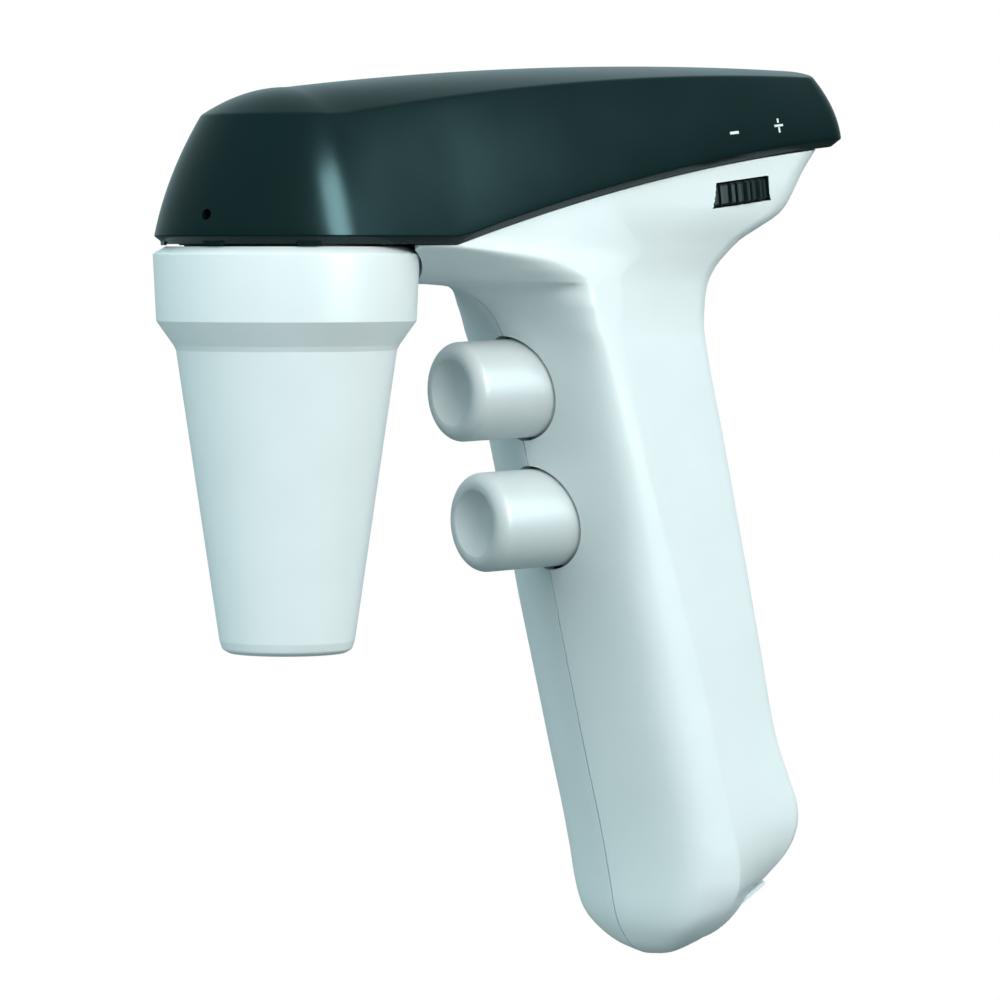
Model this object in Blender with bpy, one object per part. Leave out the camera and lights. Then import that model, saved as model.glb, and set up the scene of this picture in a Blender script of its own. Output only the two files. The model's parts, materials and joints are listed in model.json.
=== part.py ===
"""Motorized pipette controller, built as separate named parts.

Lengths in this file are millimetres and turn into metres when a mesh is made.
+X points rearward, +Y to the user's right, +Z up. The origin is on the pipette
axis, on the edge where the nose collar's straight side ends.
"""
import math

import bmesh
import bpy
import numpy as np
from mathutils import Matrix, Vector

MM = 0.001
GAP = 0.3                     # clearance between pieces that touch on the real object

# Top cover
COVER_FRONT_R = 22.5          # plan radius of the cover's front about the pipette axis
COVER_TAPER = 0.00062         # half width lost per square millimetre of distance rearward
COVER_REAR_X = 110.6
COVER_REAR_R = 3.6
RIDGE_FRONT_R = 14.5          # plan radius of the crease round the crown
RIDGE_REAR_X = 106.3
RIDGE_REAR_R = 3.2
LIP_INSET = 1.7
LIP_HEIGHT = 1.35
WALL_BULGE = 1.0
COVER_WALL = 1.8
EDGE_Z = 13.05                # cover's lower edge over the nose
EDGE_BREAK_X = 21.4           # the lower edge starts to climb here
RIDGE_Z = 34.9
CROWN_Z = 39.75
TAB_COUNT = 8
TAB_LOW_Z = 12.95

# Handle shells
SHELL_WALL = 2.2
HOLLOW_LOW_Z = -109.6
SEAM = 0.15                   # half the gap between the two shells
HORN_X = 14.0                 # the shells reach forward to here beside the collar
COLLAR_CLEAR_R = 23.15
VIEW_COS = 0.819              # the rear corner line below is given across this direction
VIEW_SIN = 0.574

# Nose
COLLAR_TOP_R = 20.6
COLLAR_TOP_Z = 12.65
COLLAR_R = 22.75
COLLAR_BEVEL_Z = 11.4
COLLAR_LOW_R = 22.2
CHAMFER_R = 19.3
CHAMFER_Z = -4.1
CONE_TOP_R = 18.85
CONE_TOP_Z = -5.0
CONE_LOW_R = 11.6
CONE_LOW_Z = -54.6
MOUTH_Z = -56.7
MOUTH_R = 7.6
THREAD_R = 17.9

# Buttons
BUTTON_R = 8.75
BUTTON_HOLE_R = 9.35
BUTTON_TRAVEL = 4.0
SEAT_R = 10.4                 # recess inside the shells for a button's flange
BUTTON_TILT = math.radians(2.0)
BUTTONS = {"aspirate": (33.9, -12.8), "dispense": (38.8, -35.8)}
BUTTON_FLANGE = {"aspirate": 19.2, "dispense": 21.5}      # from the face back to the flange

# Speed wheel
WHEEL_X = 84.6
WHEEL_Z = 22.2
WHEEL_R = 16.8
WHEEL_THICK = 3.8
WHEEL_TILT = math.radians(6.8)
WHEEL_RIBS = 50
SLOT = (80.6, 92.4)           # the window's ends along X
SLOT_HALF = 2.2

# Heel
HEEL_POINT = (91.0, -106.0)   # a point on the oblique end face (x, z)
HEEL_ANGLE = math.radians(31.0)
HEEL_ROUND = 8.5              # depth over which the handle narrows towards its heel
HEEL_NARROWING = 0.44

# Screws: position (x, z) of each shell screw and the depth that its post runs to
SHELL_SCREWS = [(61.0, 2.5, 15.8), (66.0, -60.0, 13.6), (97.6, -90.0, 11.2), (80.2, 10.7, 10.9)]
SCREW_SEAT = 6.0
SCREW_DEPTH = 7.0
FRAME_SCREWS = [(12 * math.cos(math.radians(a)), 12 * math.sin(math.radians(a)))
                for a in (100, 180, 260)]
FRAME_LOW = 15.6
FRAME_HIGH = 17.6

# Cover details
SIDE_END = 15                 # index of the last column on the straight side
VENT_ANGLE = -160.6
VENT_Z = 17.5

# Valve stems and springs
STEM_REACH = 13.4             # from a button's flange back to the needle's tip
BLOCK_REACH = 9.7             # from a button's flange back to the valve block
SPRING_R = 3.6
SPRING_WIRE = 0.35
SPRING_TURNS = 5

# Pump and air lines
PUMP_AXIS_Z = 26.7
CRANK = 0.7
MOTOR_FACE_X = 30.0
TUBE_R = 1.5
TUBES = {
    "nose_tube": [(0, 0, 20.9), (0, 0.4, 22.6), (0, 5, 26), (5, 12, 26.5), (24, 14.8, 25), (44, 14.6, 23),
                  (54, 13.0, 19), (62, 9, 12), (66.6, 6, 5), (67, 5, 2.4), (67, 5, 0.4)],
    "suction_tube": [(2.7, -5, 34), (1.0, -5, 34), (-2.5, -8, 31), (4, -13.4, 27.5), (24, -14.8, 25),
                     (44, -14.6, 23), (54, -13.0, 19), (62, -9, 12), (66.6, -6, 5), (67, -5, 2.4),
                     (67, -5, 0.4)],
    "pressure_tube": [(2.7, 5, 34), (1.0, 5, 34), (-4, 3.5, 32), (-8.0, 0, 27.5), (-10.6, -3.2, 22.6)],
}

# Battery cells
CELL_TOP = (74.0, -48.5)
CELL_ANGLE = math.radians(13.4)
CELL_LENGTH = 49.5
CELL_R = 7.0

# Finishes: colour, roughness, metallic
HANDLE_WHITE = ((0.80, 0.83, 0.84), 0.38, 0.0)
NOSE_WHITE = ((0.86, 0.88, 0.88), 0.36, 0.0)
COVER_DARK = ((0.012, 0.026, 0.028), 0.30, 0.0)
BLACK = ((0.010, 0.014, 0.014), 0.45, 0.0)
GREY = ((0.22, 0.24, 0.25), 0.5, 0.0)
STEEL = ((0.62, 0.63, 0.65), 0.28, 1.0)
BRASS = ((0.70, 0.52, 0.24), 0.3, 1.0)
SILICONE = ((0.62, 0.66, 0.62), 0.45, 0.0)
CLEAR = ((0.82, 0.86, 0.88), 0.15, 0.0)
BOARD_GREEN = ((0.02, 0.16, 0.07), 0.45, 0.0)
FOAM = ((0.10, 0.10, 0.11), 0.9, 0.0)
RUBBER = ((0.03, 0.03, 0.035), 0.7, 0.0)
CELL_BLUE = ((0.06, 0.14, 0.34), 0.35, 0.0)


def curve(table):
    """Smooth monotone curve through (position, value) pairs."""
    xs = np.array([row[0] for row in table], float)
    ys = np.array([row[1] for row in table], float)
    step = np.diff(xs)
    slope = np.diff(ys) / step
    tangent = np.zeros(len(xs))
    tangent[0] = slope[0]
    tangent[-1] = slope[-1]
    for i in range(1, len(xs) - 1):
        if slope[i - 1] * slope[i] > 0:
            before = 2 * step[i] + step[i - 1]
            after = step[i] + 2 * step[i - 1]
            tangent[i] = (before + after) / (before / slope[i - 1] + after / slope[i])

    def value(x):
        x = min(max(x, xs[0]), xs[-1])
        i = min(int(np.searchsorted(xs, x, side="right")) - 1, len(step) - 1)
        t = (x - xs[i]) / step[i]
        return float(
            (1 + 2 * t) * (1 - t) ** 2 * ys[i]
            + t * (1 - t) ** 2 * step[i] * tangent[i]
            + t * t * (3 - 2 * t) * ys[i + 1]
            + t * t * (t - 1) * step[i] * tangent[i + 1]
        )

    return value


# Handle outline at each height. FRONT is the seam on the centre plane, REAR_LINE the
# reach of the rear corner across the viewing direction, the rest are half widths.
FRONT = curve([
    (-115.1, 78.6), (-114.4, 75.9), (-112.9, 73.3), (-111.1, 71.8), (-108.4, 70.3), (-105, 69.3),
    (-101.2, 68.6), (-91.3, 66.5), (-79.1, 63.4), (-58.6, 58.4), (-44.1, 55.0), (-26.8, 50.7),
    (-12, 47.2), (-3.4, 45.1), (0.7, 42.8), (3.7, 39.2), (5.4, 35.2), (6.0, 31.0), (6.25, 24.0),
    (6.45, HORN_X), (40, HORN_X),
])
REAR_LINE = curve([
    (-115.1, 78.0), (-112.9, 80.2), (-109.5, 82.0), (-105.6, 83.6), (-101.3, 85.8),
    (-97.4, 88.5), (-94.6, 89.5), (-91.7, 89.9), (-88.2, 89.5), (-84.6, 88.3), (-75.6, 85.35),
    (-58.4, 82.25), (-43.8, 79.65), (-21.5, 75.6), (-5.5, 72.6), (-1.3, 72.1), (2.6, 72.3),
    (6.0, 72.9), (8.8, 74.3), (11.7, 76.8), (13.8, 79.0), (16.5, 83.1), (18.5, 86.0), (20.6, 87.7),
    (23.3, 89.2), (26, 90.7), (28.7, 92.5), (33, 95.2),
])
FRONT_SWEEP = curve([
    (-115.1, 1.6), (-108.4, 2.6), (-95, 3.9), (-50, 4.0), (-36, 4.8), (-12, 5.0), (-3, 4.7),
    (0.7, 5.2), (3.7, 8.4), (5.4, 12.8), (6.0, 18.6), (6.25, 25.6), (6.45, 35.6), (9, 30.0),
    (11.3, 20.0), (12.7, 8.0), (14.5, 0.0), (40, 0.0),
])
FRONT_HALF = curve([
    (-115.1, 5.0), (-114.4, 8.6), (-112.9, 11.9), (-109.5, 15.9), (-105, 18.7), (-100, 20.2),
    (-94, 20.6), (-10, 20.6), (0, 20.6), (6, 20.6), (13, 20.6), (33, 20.6),
])
CREASE_BACK = curve([
    (-115.1, 3.0), (-111.8, 8.5), (-104, 12.5), (-95, 13.9), (-68, 13.9), (-50, 12.6), (-30, 11.2),
    (-3, 10.5),
])
CREASE_HALF = curve([
    (-115.1, 5.2), (-114.4, 8.8), (-112.9, 12.2), (-109.5, 16.2), (-105, 19.1), (-100, 20.6),
    (-94, 21.0), (-30, 20.9), (-12, 20.5), (0, 19.9), (8, 19.3), (20, 18.9), (33, 18.5),
])
CREASE_X = curve([(-3.0, 56.1), (12.0, 53.0), (33.0, 50.0)])
CREASE_R = curve([(-115.1, 4.0), (-100.0, 2.5), (-30.0, 2.5), (-12.0, 5.0), (0.0, 20.0), (12.0, 150.0)])
REAR_HALF = curve([
    (-115.1, 3.6), (-114.4, 5.6), (-112.9, 7.4), (-109.5, 9.0), (-103, 10.0), (-90, 10.2), (-70, 9.6),
    (0, 9.5), (6, 10.2), (12, 12.0), (18, 13.9), (24, 14.6), (33, 14.2),
])
# Pull of the front side's curve towards its corner
CORNER_PULL = curve([(-115.1, 1.6), (-108.0, 2.4), (-95.0, 2.4), (-3.0, 2.5), (6.0, 2.8), (11.0, 4.0),
                     (14.5, 14.0), (33.0, 14.0)])
REAR_R = curve([(-115.1, 1.5), (-111.8, 5.0), (-104, 7.0), (10, 7.0), (20, 9.0), (33, 7.0)])

LEVELS = [33.0, 27.0, 22.5, 18.5, 16.0, 14.5, 13.4, 12.4, 11.0, 9.4, 7.8, 6.45, 6.25, 6.0, 5.4, 4.6,
          3.4, 1.8, -0.6, -3.4, -8.0, -16.0, -30.0, -48.0, -66.0, -76.0, -83.0, -87.5, -91.5, -95.0,
          -98.0, -101.0, -104.0, -107.0, -110.0, -112.2, -113.6, -114.5, -115.1]
HOLLOW_LEVELS = [60.0, 33.0, 24.0, 16.8, 14.6, 12.8, 10.9, 9.0, 8.1, 6.0, 3.4, 0.0, -4.0, -12.0,
                 -30.0, -60.0, -80.0, -87.0, -92.0, -97.0, -102.0, -106.0, HOLLOW_LOW_Z]


# ---------------------------------------------------------------- building helpers

def clear_scene():
    for item in list(bpy.data.objects):
        bpy.data.objects.remove(item, do_unlink=True)


def material(name, colour, roughness, metallic=0.0):
    mat = bpy.data.materials.new(name)
    mat.use_nodes = True
    shader = mat.node_tree.nodes["Principled BSDF"]
    shader.inputs["Base Color"].default_value = (*colour, 1.0)
    shader.inputs["Roughness"].default_value = roughness
    shader.inputs["Metallic"].default_value = metallic
    return mat


def solid(name, points, faces, finish=None):
    """Closed mesh object from millimetre points, with its faces turned outward."""
    mesh = bpy.data.meshes.new(name)
    mesh.from_pydata([tuple(c * MM for c in p) for p in points], [], faces)
    work = bmesh.new()
    work.from_mesh(mesh)
    bmesh.ops.remove_doubles(work, verts=work.verts, dist=1e-7)
    bmesh.ops.recalc_face_normals(work, faces=work.faces)
    work.to_mesh(mesh)
    work.free()
    thing = bpy.data.objects.new(name, mesh)
    bpy.context.scene.collection.objects.link(thing)
    if finish is not None:
        dress(thing, finish)
    return thing


def dress(thing, finish, sharp=35.0):
    """Give the piece a material of its own and smooth shading."""
    colour, roughness, metallic = finish
    thing.data.materials.clear()
    thing.data.materials.append(material(thing.name, colour, roughness, metallic))
    thing.data.shade_smooth()
    thing.data.set_sharp_from_angle(angle=math.radians(sharp))
    return thing


def loft(name, rings, finish=None):
    """Solid through closed rings of equal length, with flat ends."""
    count = len(rings[0])
    points = [p for ring in rings for p in ring]
    faces = [list(range(count)), list(range(len(points) - count, len(points)))]
    for i in range(len(rings) - 1):
        for j in range(count):
            k = (j + 1) % count
            faces.append([i * count + j, i * count + k, (i + 1) * count + k, (i + 1) * count + j])
    return solid(name, points, faces, finish)


def turned(name, profile, sides=32, finish=None):
    """Solid of revolution about Z from a closed profile of (radius, z) points."""
    angles = [2 * math.pi * i / sides for i in range(sides)]
    points = []
    index = []
    for radius, height in profile:
        if radius < 1e-6:
            index.append([len(points)] * sides)
            points.append((0.0, 0.0, height))
        else:
            index.append(list(range(len(points), len(points) + sides)))
            points += [(radius * math.cos(a), radius * math.sin(a), height) for a in angles]
    faces = []
    for i in range(len(profile)):
        here = index[i]
        there = index[(i + 1) % len(profile)]
        for j in range(sides):
            k = (j + 1) % sides
            corners = []
            for corner in (here[j], here[k], there[k], there[j]):
                if corner not in corners:
                    corners.append(corner)
            if len(corners) > 2:
                faces.append(corners)
    return solid(name, points, faces, finish)


def block(name, low, high, finish=None):
    """Box between two corners."""
    points = [(x, y, z) for x in (low[0], high[0]) for y in (low[1], high[1]) for z in (low[2], high[2])]
    faces = [(0, 1, 3, 2), (4, 6, 7, 5), (0, 4, 5, 1), (2, 3, 7, 6), (0, 2, 6, 4), (1, 5, 7, 3)]
    return solid(name, points, faces, finish)


def prism(name, outline, low, high, axis="Y", finish=None):
    """Outline of (a, b) points pushed from low to high along an axis."""
    place = {
        "X": lambda a, b, t: (t, a, b),
        "Y": lambda a, b, t: (a, t, b),
        "Z": lambda a, b, t: (a, b, t),
    }[axis]
    return loft(name, [[place(a, b, t) for a, b in outline] for t in (low, high)], finish)


def rod(name, start, end, radius, sides=16, finish=None):
    """Plain cylinder between two points."""
    a = Vector(start)
    run = Vector(end) - a
    piece = turned(name, [(0, 0), (radius, 0), (radius, run.length), (0, run.length)], sides, finish)
    stand(piece, start, run)
    return piece


def stand(piece, place, direction=(0, 0, 1)):
    """Bake a turn of +Z onto a direction, then a shift, into the mesh."""
    turn = Vector((0, 0, 1)).rotation_difference(Vector(direction)).to_matrix().to_4x4()
    piece.data.transform(Matrix.Translation(Vector(place) * MM) @ turn)
    return piece


def combine(piece, other, how):
    """Boolean of two objects, applied to the first. The second is used up."""
    tool = piece.modifiers.new(how, "BOOLEAN")
    tool.operation = how
    tool.solver = "EXACT"
    tool.object = other
    bpy.context.view_layer.update()
    shape = piece.evaluated_get(bpy.context.evaluated_depsgraph_get())
    mesh = bpy.data.meshes.new_from_object(shape)
    work = bmesh.new()
    work.from_mesh(mesh)
    bmesh.ops.remove_doubles(work, verts=work.verts, dist=0.012 * MM)
    bmesh.ops.dissolve_degenerate(work, dist=0.006 * MM, edges=work.edges)
    work.to_mesh(mesh)
    work.free()
    piece.modifiers.clear()
    piece.data = mesh
    mesh.name = piece.name
    bpy.data.objects.remove(other, do_unlink=True)
    return piece


def cut(piece, *others):
    for other in others:
        combine(piece, other, "DIFFERENCE")
    return piece


def join(piece, *others):
    for other in others:
        combine(piece, other, "UNION")
    return piece


def pivot(piece, place):
    """Move the object's origin to a point and leave its shape where it is."""
    point = Vector(place) * MM
    piece.data.transform(Matrix.Translation(-point))
    piece.location = point
    return piece


def tilted(x, z, angle, along, up):
    """Point in the X-Z plane reached from (x, z) along and across a line tilted up by angle."""
    return (x + along * math.cos(angle) - up * math.sin(angle),
            z + along * math.sin(angle) + up * math.cos(angle))


def arc_corner(before, here, after, radius, steps):
    """Points of the arc that rounds one corner of a line."""
    here = np.array(here, float)
    a = np.array(before, float) - here
    b = np.array(after, float) - here
    la = np.linalg.norm(a)
    lb = np.linalg.norm(b)
    a /= la
    b /= lb
    half = math.acos(max(-1.0, min(1.0, float(a @ b)))) / 2
    reach = min(radius / math.tan(half), 0.48 * la, 0.48 * lb)
    radius = reach * math.tan(half)
    centre = here + (a + b) / np.linalg.norm(a + b) * radius / math.sin(half)
    start = here + a * reach - centre
    end = here + b * reach - centre
    sweep = math.pi - 2 * half
    points = []
    for s in range(steps + 1):
        t = s / steps
        p = (math.sin((1 - t) * sweep) * start + math.sin(t * sweep) * end) / math.sin(sweep)
        points.append(tuple(centre + p))
    return points


# ---------------------------------------------------------------- handle shells

def swept(start, corner, end, pull, steps):
    """Curve from start to end that bends round a corner, closer to it for a stronger pull."""
    path = []
    for i in range(steps):
        t = i / steps
        shares = ((1 - t) ** 2, 2 * pull * t * (1 - t), t * t)
        path.append(tuple(sum(s * p[k] for s, p in zip(shares, (start, corner, end))) / sum(shares)
                          for k in (0, 1)))
    return path


def half_section(z, inset, steps):
    """Right half of the handle's outline at a height, front centre to rear centre."""
    def worn(line, sign):
        if inset == 0:
            return line(z)
        best = []
        for step in range(-4, 5):
            angle = math.pi / 2 * step / 4
            best.append(line(z + inset * math.sin(angle)) + sign * inset * math.cos(angle))
        return max(best) if sign > 0 else min(best)

    def corner_line(height):
        return FRONT(height) + FRONT_SWEEP(height)

    def rear_centre(height):
        corner = REAR_R(height)
        side = REAR_HALF(height)
        reach = (REAR_LINE(height) - corner - VIEW_SIN * (side - corner)) / VIEW_COS
        return reach + corner

    front = worn(FRONT, 1)
    rear = worn(rear_centre, -1)
    corner_x = worn(corner_line, 1)
    crease_x = CREASE_X(z) if z > -3.0 else FRONT(z) + CREASE_BACK(z)
    crease_x = min(max(crease_x, corner_x + 1.5), rear - 4.0)
    corner = (corner_x, worn(FRONT_HALF, -1))
    crease = (crease_x, worn(CREASE_HALF, -1))
    rear_corner = (rear - 0.9, worn(REAR_HALF, -1))
    rear_r = REAR_R(z) * (0.6 if inset else 1.0)
    bend = arc_corner(corner, crease, rear_corner, CREASE_R(z), steps[1])
    turn = arc_corner(crease, rear_corner, (rear, 0.0), rear_r, steps[2])
    return swept((front, 0.0), corner, bend[0], CORNER_PULL(z), steps[0]) + bend + turn + [(rear, 0.0)]


def heel_share(x, z):
    """Share of its half width that the handle keeps near the heel's rounded end face."""
    inside = (z - HEEL_POINT[1]) * math.cos(HEEL_ANGLE) - (x - HEEL_POINT[0]) * math.sin(HEEL_ANGLE)
    depth = min(1.0, max(0.0, 1 - inside / HEEL_ROUND))
    return 1 - HEEL_NARROWING * (1 - math.sqrt(1 - depth * depth))


def shell_half(name, inset, start, levels, steps):
    rings = []
    for z in levels:
        path = half_section(z, inset, steps)
        ring = [(path[0][0], start, z)]
        ring += [(x, max(y * heel_share(x, z), start + 0.01), z) for x, y in path[1:-1]]
        ring.append((path[-1][0], start, z))
        rings.append(ring)
    return loft(name, rings)


def edge_height(x):
    """Height of the cover's lower edge at a distance along the head."""
    t = max(0.0, x - EDGE_BREAK_X)
    return EDGE_Z + 0.31 * t - 0.001237 * t * t


def head_top_cutter():
    xs = [-40, EDGE_BREAK_X] + [EDGE_BREAK_X + 8 * i for i in range(1, 13)]
    outline = [(x, edge_height(x) - GAP) for x in xs] + [(xs[-1], 60), (-40, 60)]
    return prism("top_cutter", outline, -60, 60)


def heel_place(along, out):
    """Point (x, z) on the heel's end face, along it rearward and out of it."""
    ca = math.cos(HEEL_ANGLE)
    sa = math.sin(HEEL_ANGLE)
    return HEEL_POINT[0] + along * ca + out * sa, HEEL_POINT[1] + along * sa - out * ca


def heel_prism(name, along, out, half_width, finish=None):
    """Block lying square to the heel's end face."""
    corners = [heel_place(a, o) for a, o in
               ((along[0], out[0]), (along[1], out[0]), (along[1], out[1]), (along[0], out[1]))]
    return prism(name, corners, -half_width, half_width, "Y", finish)


def button_point(which, back, up=0.0):
    """Point (x, z) behind a button's face, along its tilted axis."""
    face_x, face_z = BUTTONS[which]
    return (face_x + back * math.cos(BUTTON_TILT) - up * math.sin(BUTTON_TILT),
            face_z + back * math.sin(BUTTON_TILT) + up * math.cos(BUTTON_TILT))


def on_button_axis(piece, which, back=0.0):
    """Turn a piece modelled along +Z so that it lies on a button's axis, face forward."""
    x, z = button_point(which, back)
    direction = (math.cos(BUTTON_TILT), 0, math.sin(BUTTON_TILT))
    return stand(piece, (x, 0, z), direction)


def wheel_frame(piece):
    """Tilt a piece modelled about +Z onto the speed wheel's axis."""
    return stand(piece, (WHEEL_X, 0, WHEEL_Z), (-math.sin(WHEEL_TILT), 0, math.cos(WHEEL_TILT)))


def handle_shells():
    """Two half shells that meet on the centre plane and carry everything else."""
    body = shell_half("body", 0.0, SEAM, LEVELS, (7, 2, 4))
    hollow = shell_half("hollow", SHELL_WALL, -5.0, HOLLOW_LEVELS, (4, 1, 2))
    cut(hollow, heel_prism("heel_wall", (-40, 40), (-SHELL_WALL, 30), 60))
    cut(body, hollow, head_top_cutter())
    cut(body, turned("collar_cut", [(0, -20), (COLLAR_CLEAR_R, -20), (COLLAR_CLEAR_R, 60), (0, 60)], 60))
    for which in BUTTONS:
        hole = turned("hole", [(0, 0), (BUTTON_HOLE_R, 0), (BUTTON_HOLE_R, 22), (0, 22)], 28)
        low = BUTTON_FLANGE[which] - GAP
        seat = turned("seat", [(0, low), (SEAT_R, low), (SEAT_R, low + 7), (0, low + 7)], 28)
        cut(body, on_button_axis(hole, which), on_button_axis(seat, which))
    room = WHEEL_R + 0.35
    chamber = turned("chamber", [(0, -2.25), (room, -2.25), (room, 2.25), (0, 2.25)], 40)
    cut(body, wheel_frame(chamber))
    window = [tilted(WHEEL_X, WHEEL_Z, WHEEL_TILT, a, u) for a, u in
              ((SLOT[0] - WHEEL_X, -SLOT_HALF), (SLOT[1] - WHEEL_X, -SLOT_HALF),
               (SLOT[1] - WHEEL_X, SLOT_HALF), (SLOT[0] - WHEEL_X, SLOT_HALF))]
    cut(body, prism("window", window, 12, 30))
    cut(body, heel_prism("heel_cut", (-40, 40), (0, 30), 60))
    cut(body, heel_prism("inlet_cut", (-5.3, 5.3), (-8, 1), 5.3))
    for x, z, high in SHELL_SCREWS:
        post = rod("post", (x, SEAM, z), (x, high, z), 3.1, 12)
        join(body, post)
    left = body.copy()
    left.data = body.data.copy()
    bpy.context.scene.collection.objects.link(left)
    body.name = body.data.name = "handle_shell_right"
    left.name = left.data.name = "handle_shell_left"
    left.data.transform(Matrix.Scale(-1, 4, (0, 1, 0)))
    left.data.flip_normals()
    for x, z, high in SHELL_SCREWS:
        cut(body, rod("hole", (x, -1, z), (x, 40, z), 1.4, 8))
        cut(body, rod("head_hole", (x, SCREW_SEAT, z), (x, 40, z), 2.6, 10))
        cut(left, rod("pilot", (x, -SCREW_DEPTH, z), (x, 1, z), 1.4, 8))
    dress(body, HANDLE_WHITE)
    dress(left, HANDLE_WHITE)


# ---------------------------------------------------------------- top cover

def plan_outline(front_r, taper, rear_x, rear_r):
    """Half plan of the cover, front centre to rear centre, with outward directions."""
    path = []
    for i in range(10):
        a = math.pi / 2 * i / 9
        path.append((-front_r * math.cos(a), front_r * math.sin(a)))
    turn_x = rear_x - rear_r
    for i in range(1, 7):
        x = turn_x * i / 6
        path.append((x, front_r - taper(x)))
    top = path[-1][1] - rear_r
    for i in range(1, 5):
        a = math.pi / 2 * (1 - i / 4)
        path.append((turn_x + rear_r * math.cos(a), top + rear_r * math.sin(a)))
    for i in (1, 2):
        path.append((rear_x, top * (1 - i / 2)))
    return path


def cover_edge():
    return plan_outline(COVER_FRONT_R, lambda x: COVER_TAPER * x * x, COVER_REAR_X, COVER_REAR_R)


def ridge_taper(x):
    return -0.6 * math.sin(math.pi * min(x, 70) / 70) + 0.0022 * max(0.0, x - 70) ** 2


def cover_ridge():
    return plan_outline(RIDGE_FRONT_R, ridge_taper, RIDGE_REAR_X, RIDGE_REAR_R)


def ridge_height(x):
    t = max(0.0, x - 2.0)
    return RIDGE_Z + 0.17 * t - 0.00088 * t * t


def crown_height(x, y):
    """Height of the crowned top, meeting the crease at the crease's own height."""
    if x < 0:
        spread = min(1.0, (x * x + y * y) / RIDGE_FRONT_R ** 2)
    else:
        spread = min(1.0, (y / (RIDGE_FRONT_R - ridge_taper(x))) ** 2)
    rise = CROWN_Z + 0.118 * max(x, 0) - 0.00068 * max(x, 0) ** 2 - ridge_height(x)
    return ridge_height(x) + rise * (1 - spread)


def cover_columns(inset, side_steps=3, crown_steps=4):
    """Columns of points from the cover's lower edge up to its spine, round the half plan."""
    columns = []
    edge = cover_edge()
    ridge = cover_ridge()
    for i, (e, r) in enumerate(zip(edge, ridge)):
        near = np.array(edge[max(i - 1, 0)])
        far = np.array(edge[min(i + 1, len(edge) - 1)])
        run = far - near
        out = np.array((-run[1], run[0])) / np.linalg.norm(run)
        if i == 0:
            out = np.array((-1.0, 0.0))
        if i == len(edge) - 1:
            out = np.array((1.0, 0.0))
        column = []
        base = edge_height(e[0])
        low = np.array(e) - out * (LIP_INSET + inset)
        column.append((low[0], low[1], base))
        shelf = np.array(e) - out * inset
        column.append((shelf[0], shelf[1], base + LIP_HEIGHT))
        top_z = crown_height(r[0], r[1]) - 0.75 * inset
        lean = np.array(r) - out * inset * 0.8
        for s in range(1, side_steps + 1):
            t = s / side_steps
            p = shelf * (1 - t) + lean * t + out * 4 * WALL_BULGE * t * (1 - t)
            column.append((p[0], p[1], (base + LIP_HEIGHT) * (1 - t) + top_z * t))
        past_side = max(0, i - SIDE_END)
        spine_x = 0.45 * r[0] if r[0] < 0 else 0.94 * min(r[0], RIDGE_REAR_X - RIDGE_REAR_R) + past_side
        for s in range(1, crown_steps + 1):
            t = s / crown_steps
            x = lean[0] + (spine_x - lean[0]) * t
            y = lean[1] * (1 - t)
            z = crown_height(x, y) - inset * (0.75 + 0.25 * min(1.0, 2 * t))
            column.append((x, y, z))
        columns.append(column)
    return columns


def cover_surface(columns):
    """Points and faces of the whole open surface, right half first, then its mirror."""
    points = []
    faces = []
    for mirror in (1, -1):
        offset = len(points)
        rows = len(columns[0])
        for column in columns:
            points += [(x, mirror * y, z) for x, y, z in column]
        for i in range(len(columns) - 1):
            for j in range(rows - 1):
                a = offset + i * rows + j
                faces.append((a, a + 1, a + rows + 1, a + rows))
    return points, faces


def top_cover():
    """One moulded cover: a closed skin made of an outer and an inner surface."""
    outer, faces = cover_surface(cover_columns(0.0))
    inner, more = cover_surface(cover_columns(COVER_WALL))
    points = outer + inner
    faces = faces + [tuple(k + len(outer) for k in face) for face in more]
    rows = len(cover_columns(0.0)[0])
    count = len(cover_edge())
    for half in (0, 1):
        start = half * rows * count
        for i in range(count - 1):
            a = start + i * rows
            b = a + rows
            faces.append((a, b, b + len(outer), a + len(outer)))
    cover = solid("top_cover", points, faces)
    for i in range(1, TAB_COUNT - 1):
        angle = 2 * math.pi * (i + 0.5) / TAB_COUNT
        outline = [(-1.75, TAB_LOW_Z), (1.75, TAB_LOW_Z), (2.3, 13.9), (-2.3, 13.9)]
        tab = prism("tab", outline, 20.75, 21.4, "X")
        tab.data.transform(Matrix.Rotation(angle, 4, "Z"))
        join(cover, tab)
    vent_angle = math.radians(VENT_ANGLE)
    a = (10 * math.cos(vent_angle), 10 * math.sin(vent_angle), VENT_Z - 3.0)
    b = (30 * math.cos(vent_angle), 30 * math.sin(vent_angle), VENT_Z + 3.0)
    cut(cover, rod("vent", a, b, 0.95, 14))
    dress(cover, COVER_DARK, 28)


# ---------------------------------------------------------------- nose

def adapter_housing():
    """White screw-on nose: collar, chamfer and cone, with a clear bore for the spigot."""
    profile = [
        (COLLAR_TOP_R, COLLAR_TOP_Z), (COLLAR_R, COLLAR_BEVEL_Z), (COLLAR_LOW_R, 0.0),
        (CHAMFER_R, CHAMFER_Z), (CONE_TOP_R, CONE_TOP_Z), (CONE_LOW_R, CONE_LOW_Z),
        (11.1, -55.8), (10.0, MOUTH_Z), (8.2, MOUTH_Z), (MOUTH_R, -56.1), (MOUTH_R, -53.5),
        (9.3, -53.0), (16.0, -7.0), (THREAD_R, -4.4), (THREAD_R, COLLAR_TOP_Z),
    ]
    return turned("adapter_housing", profile, 36, NOSE_WHITE)


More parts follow.
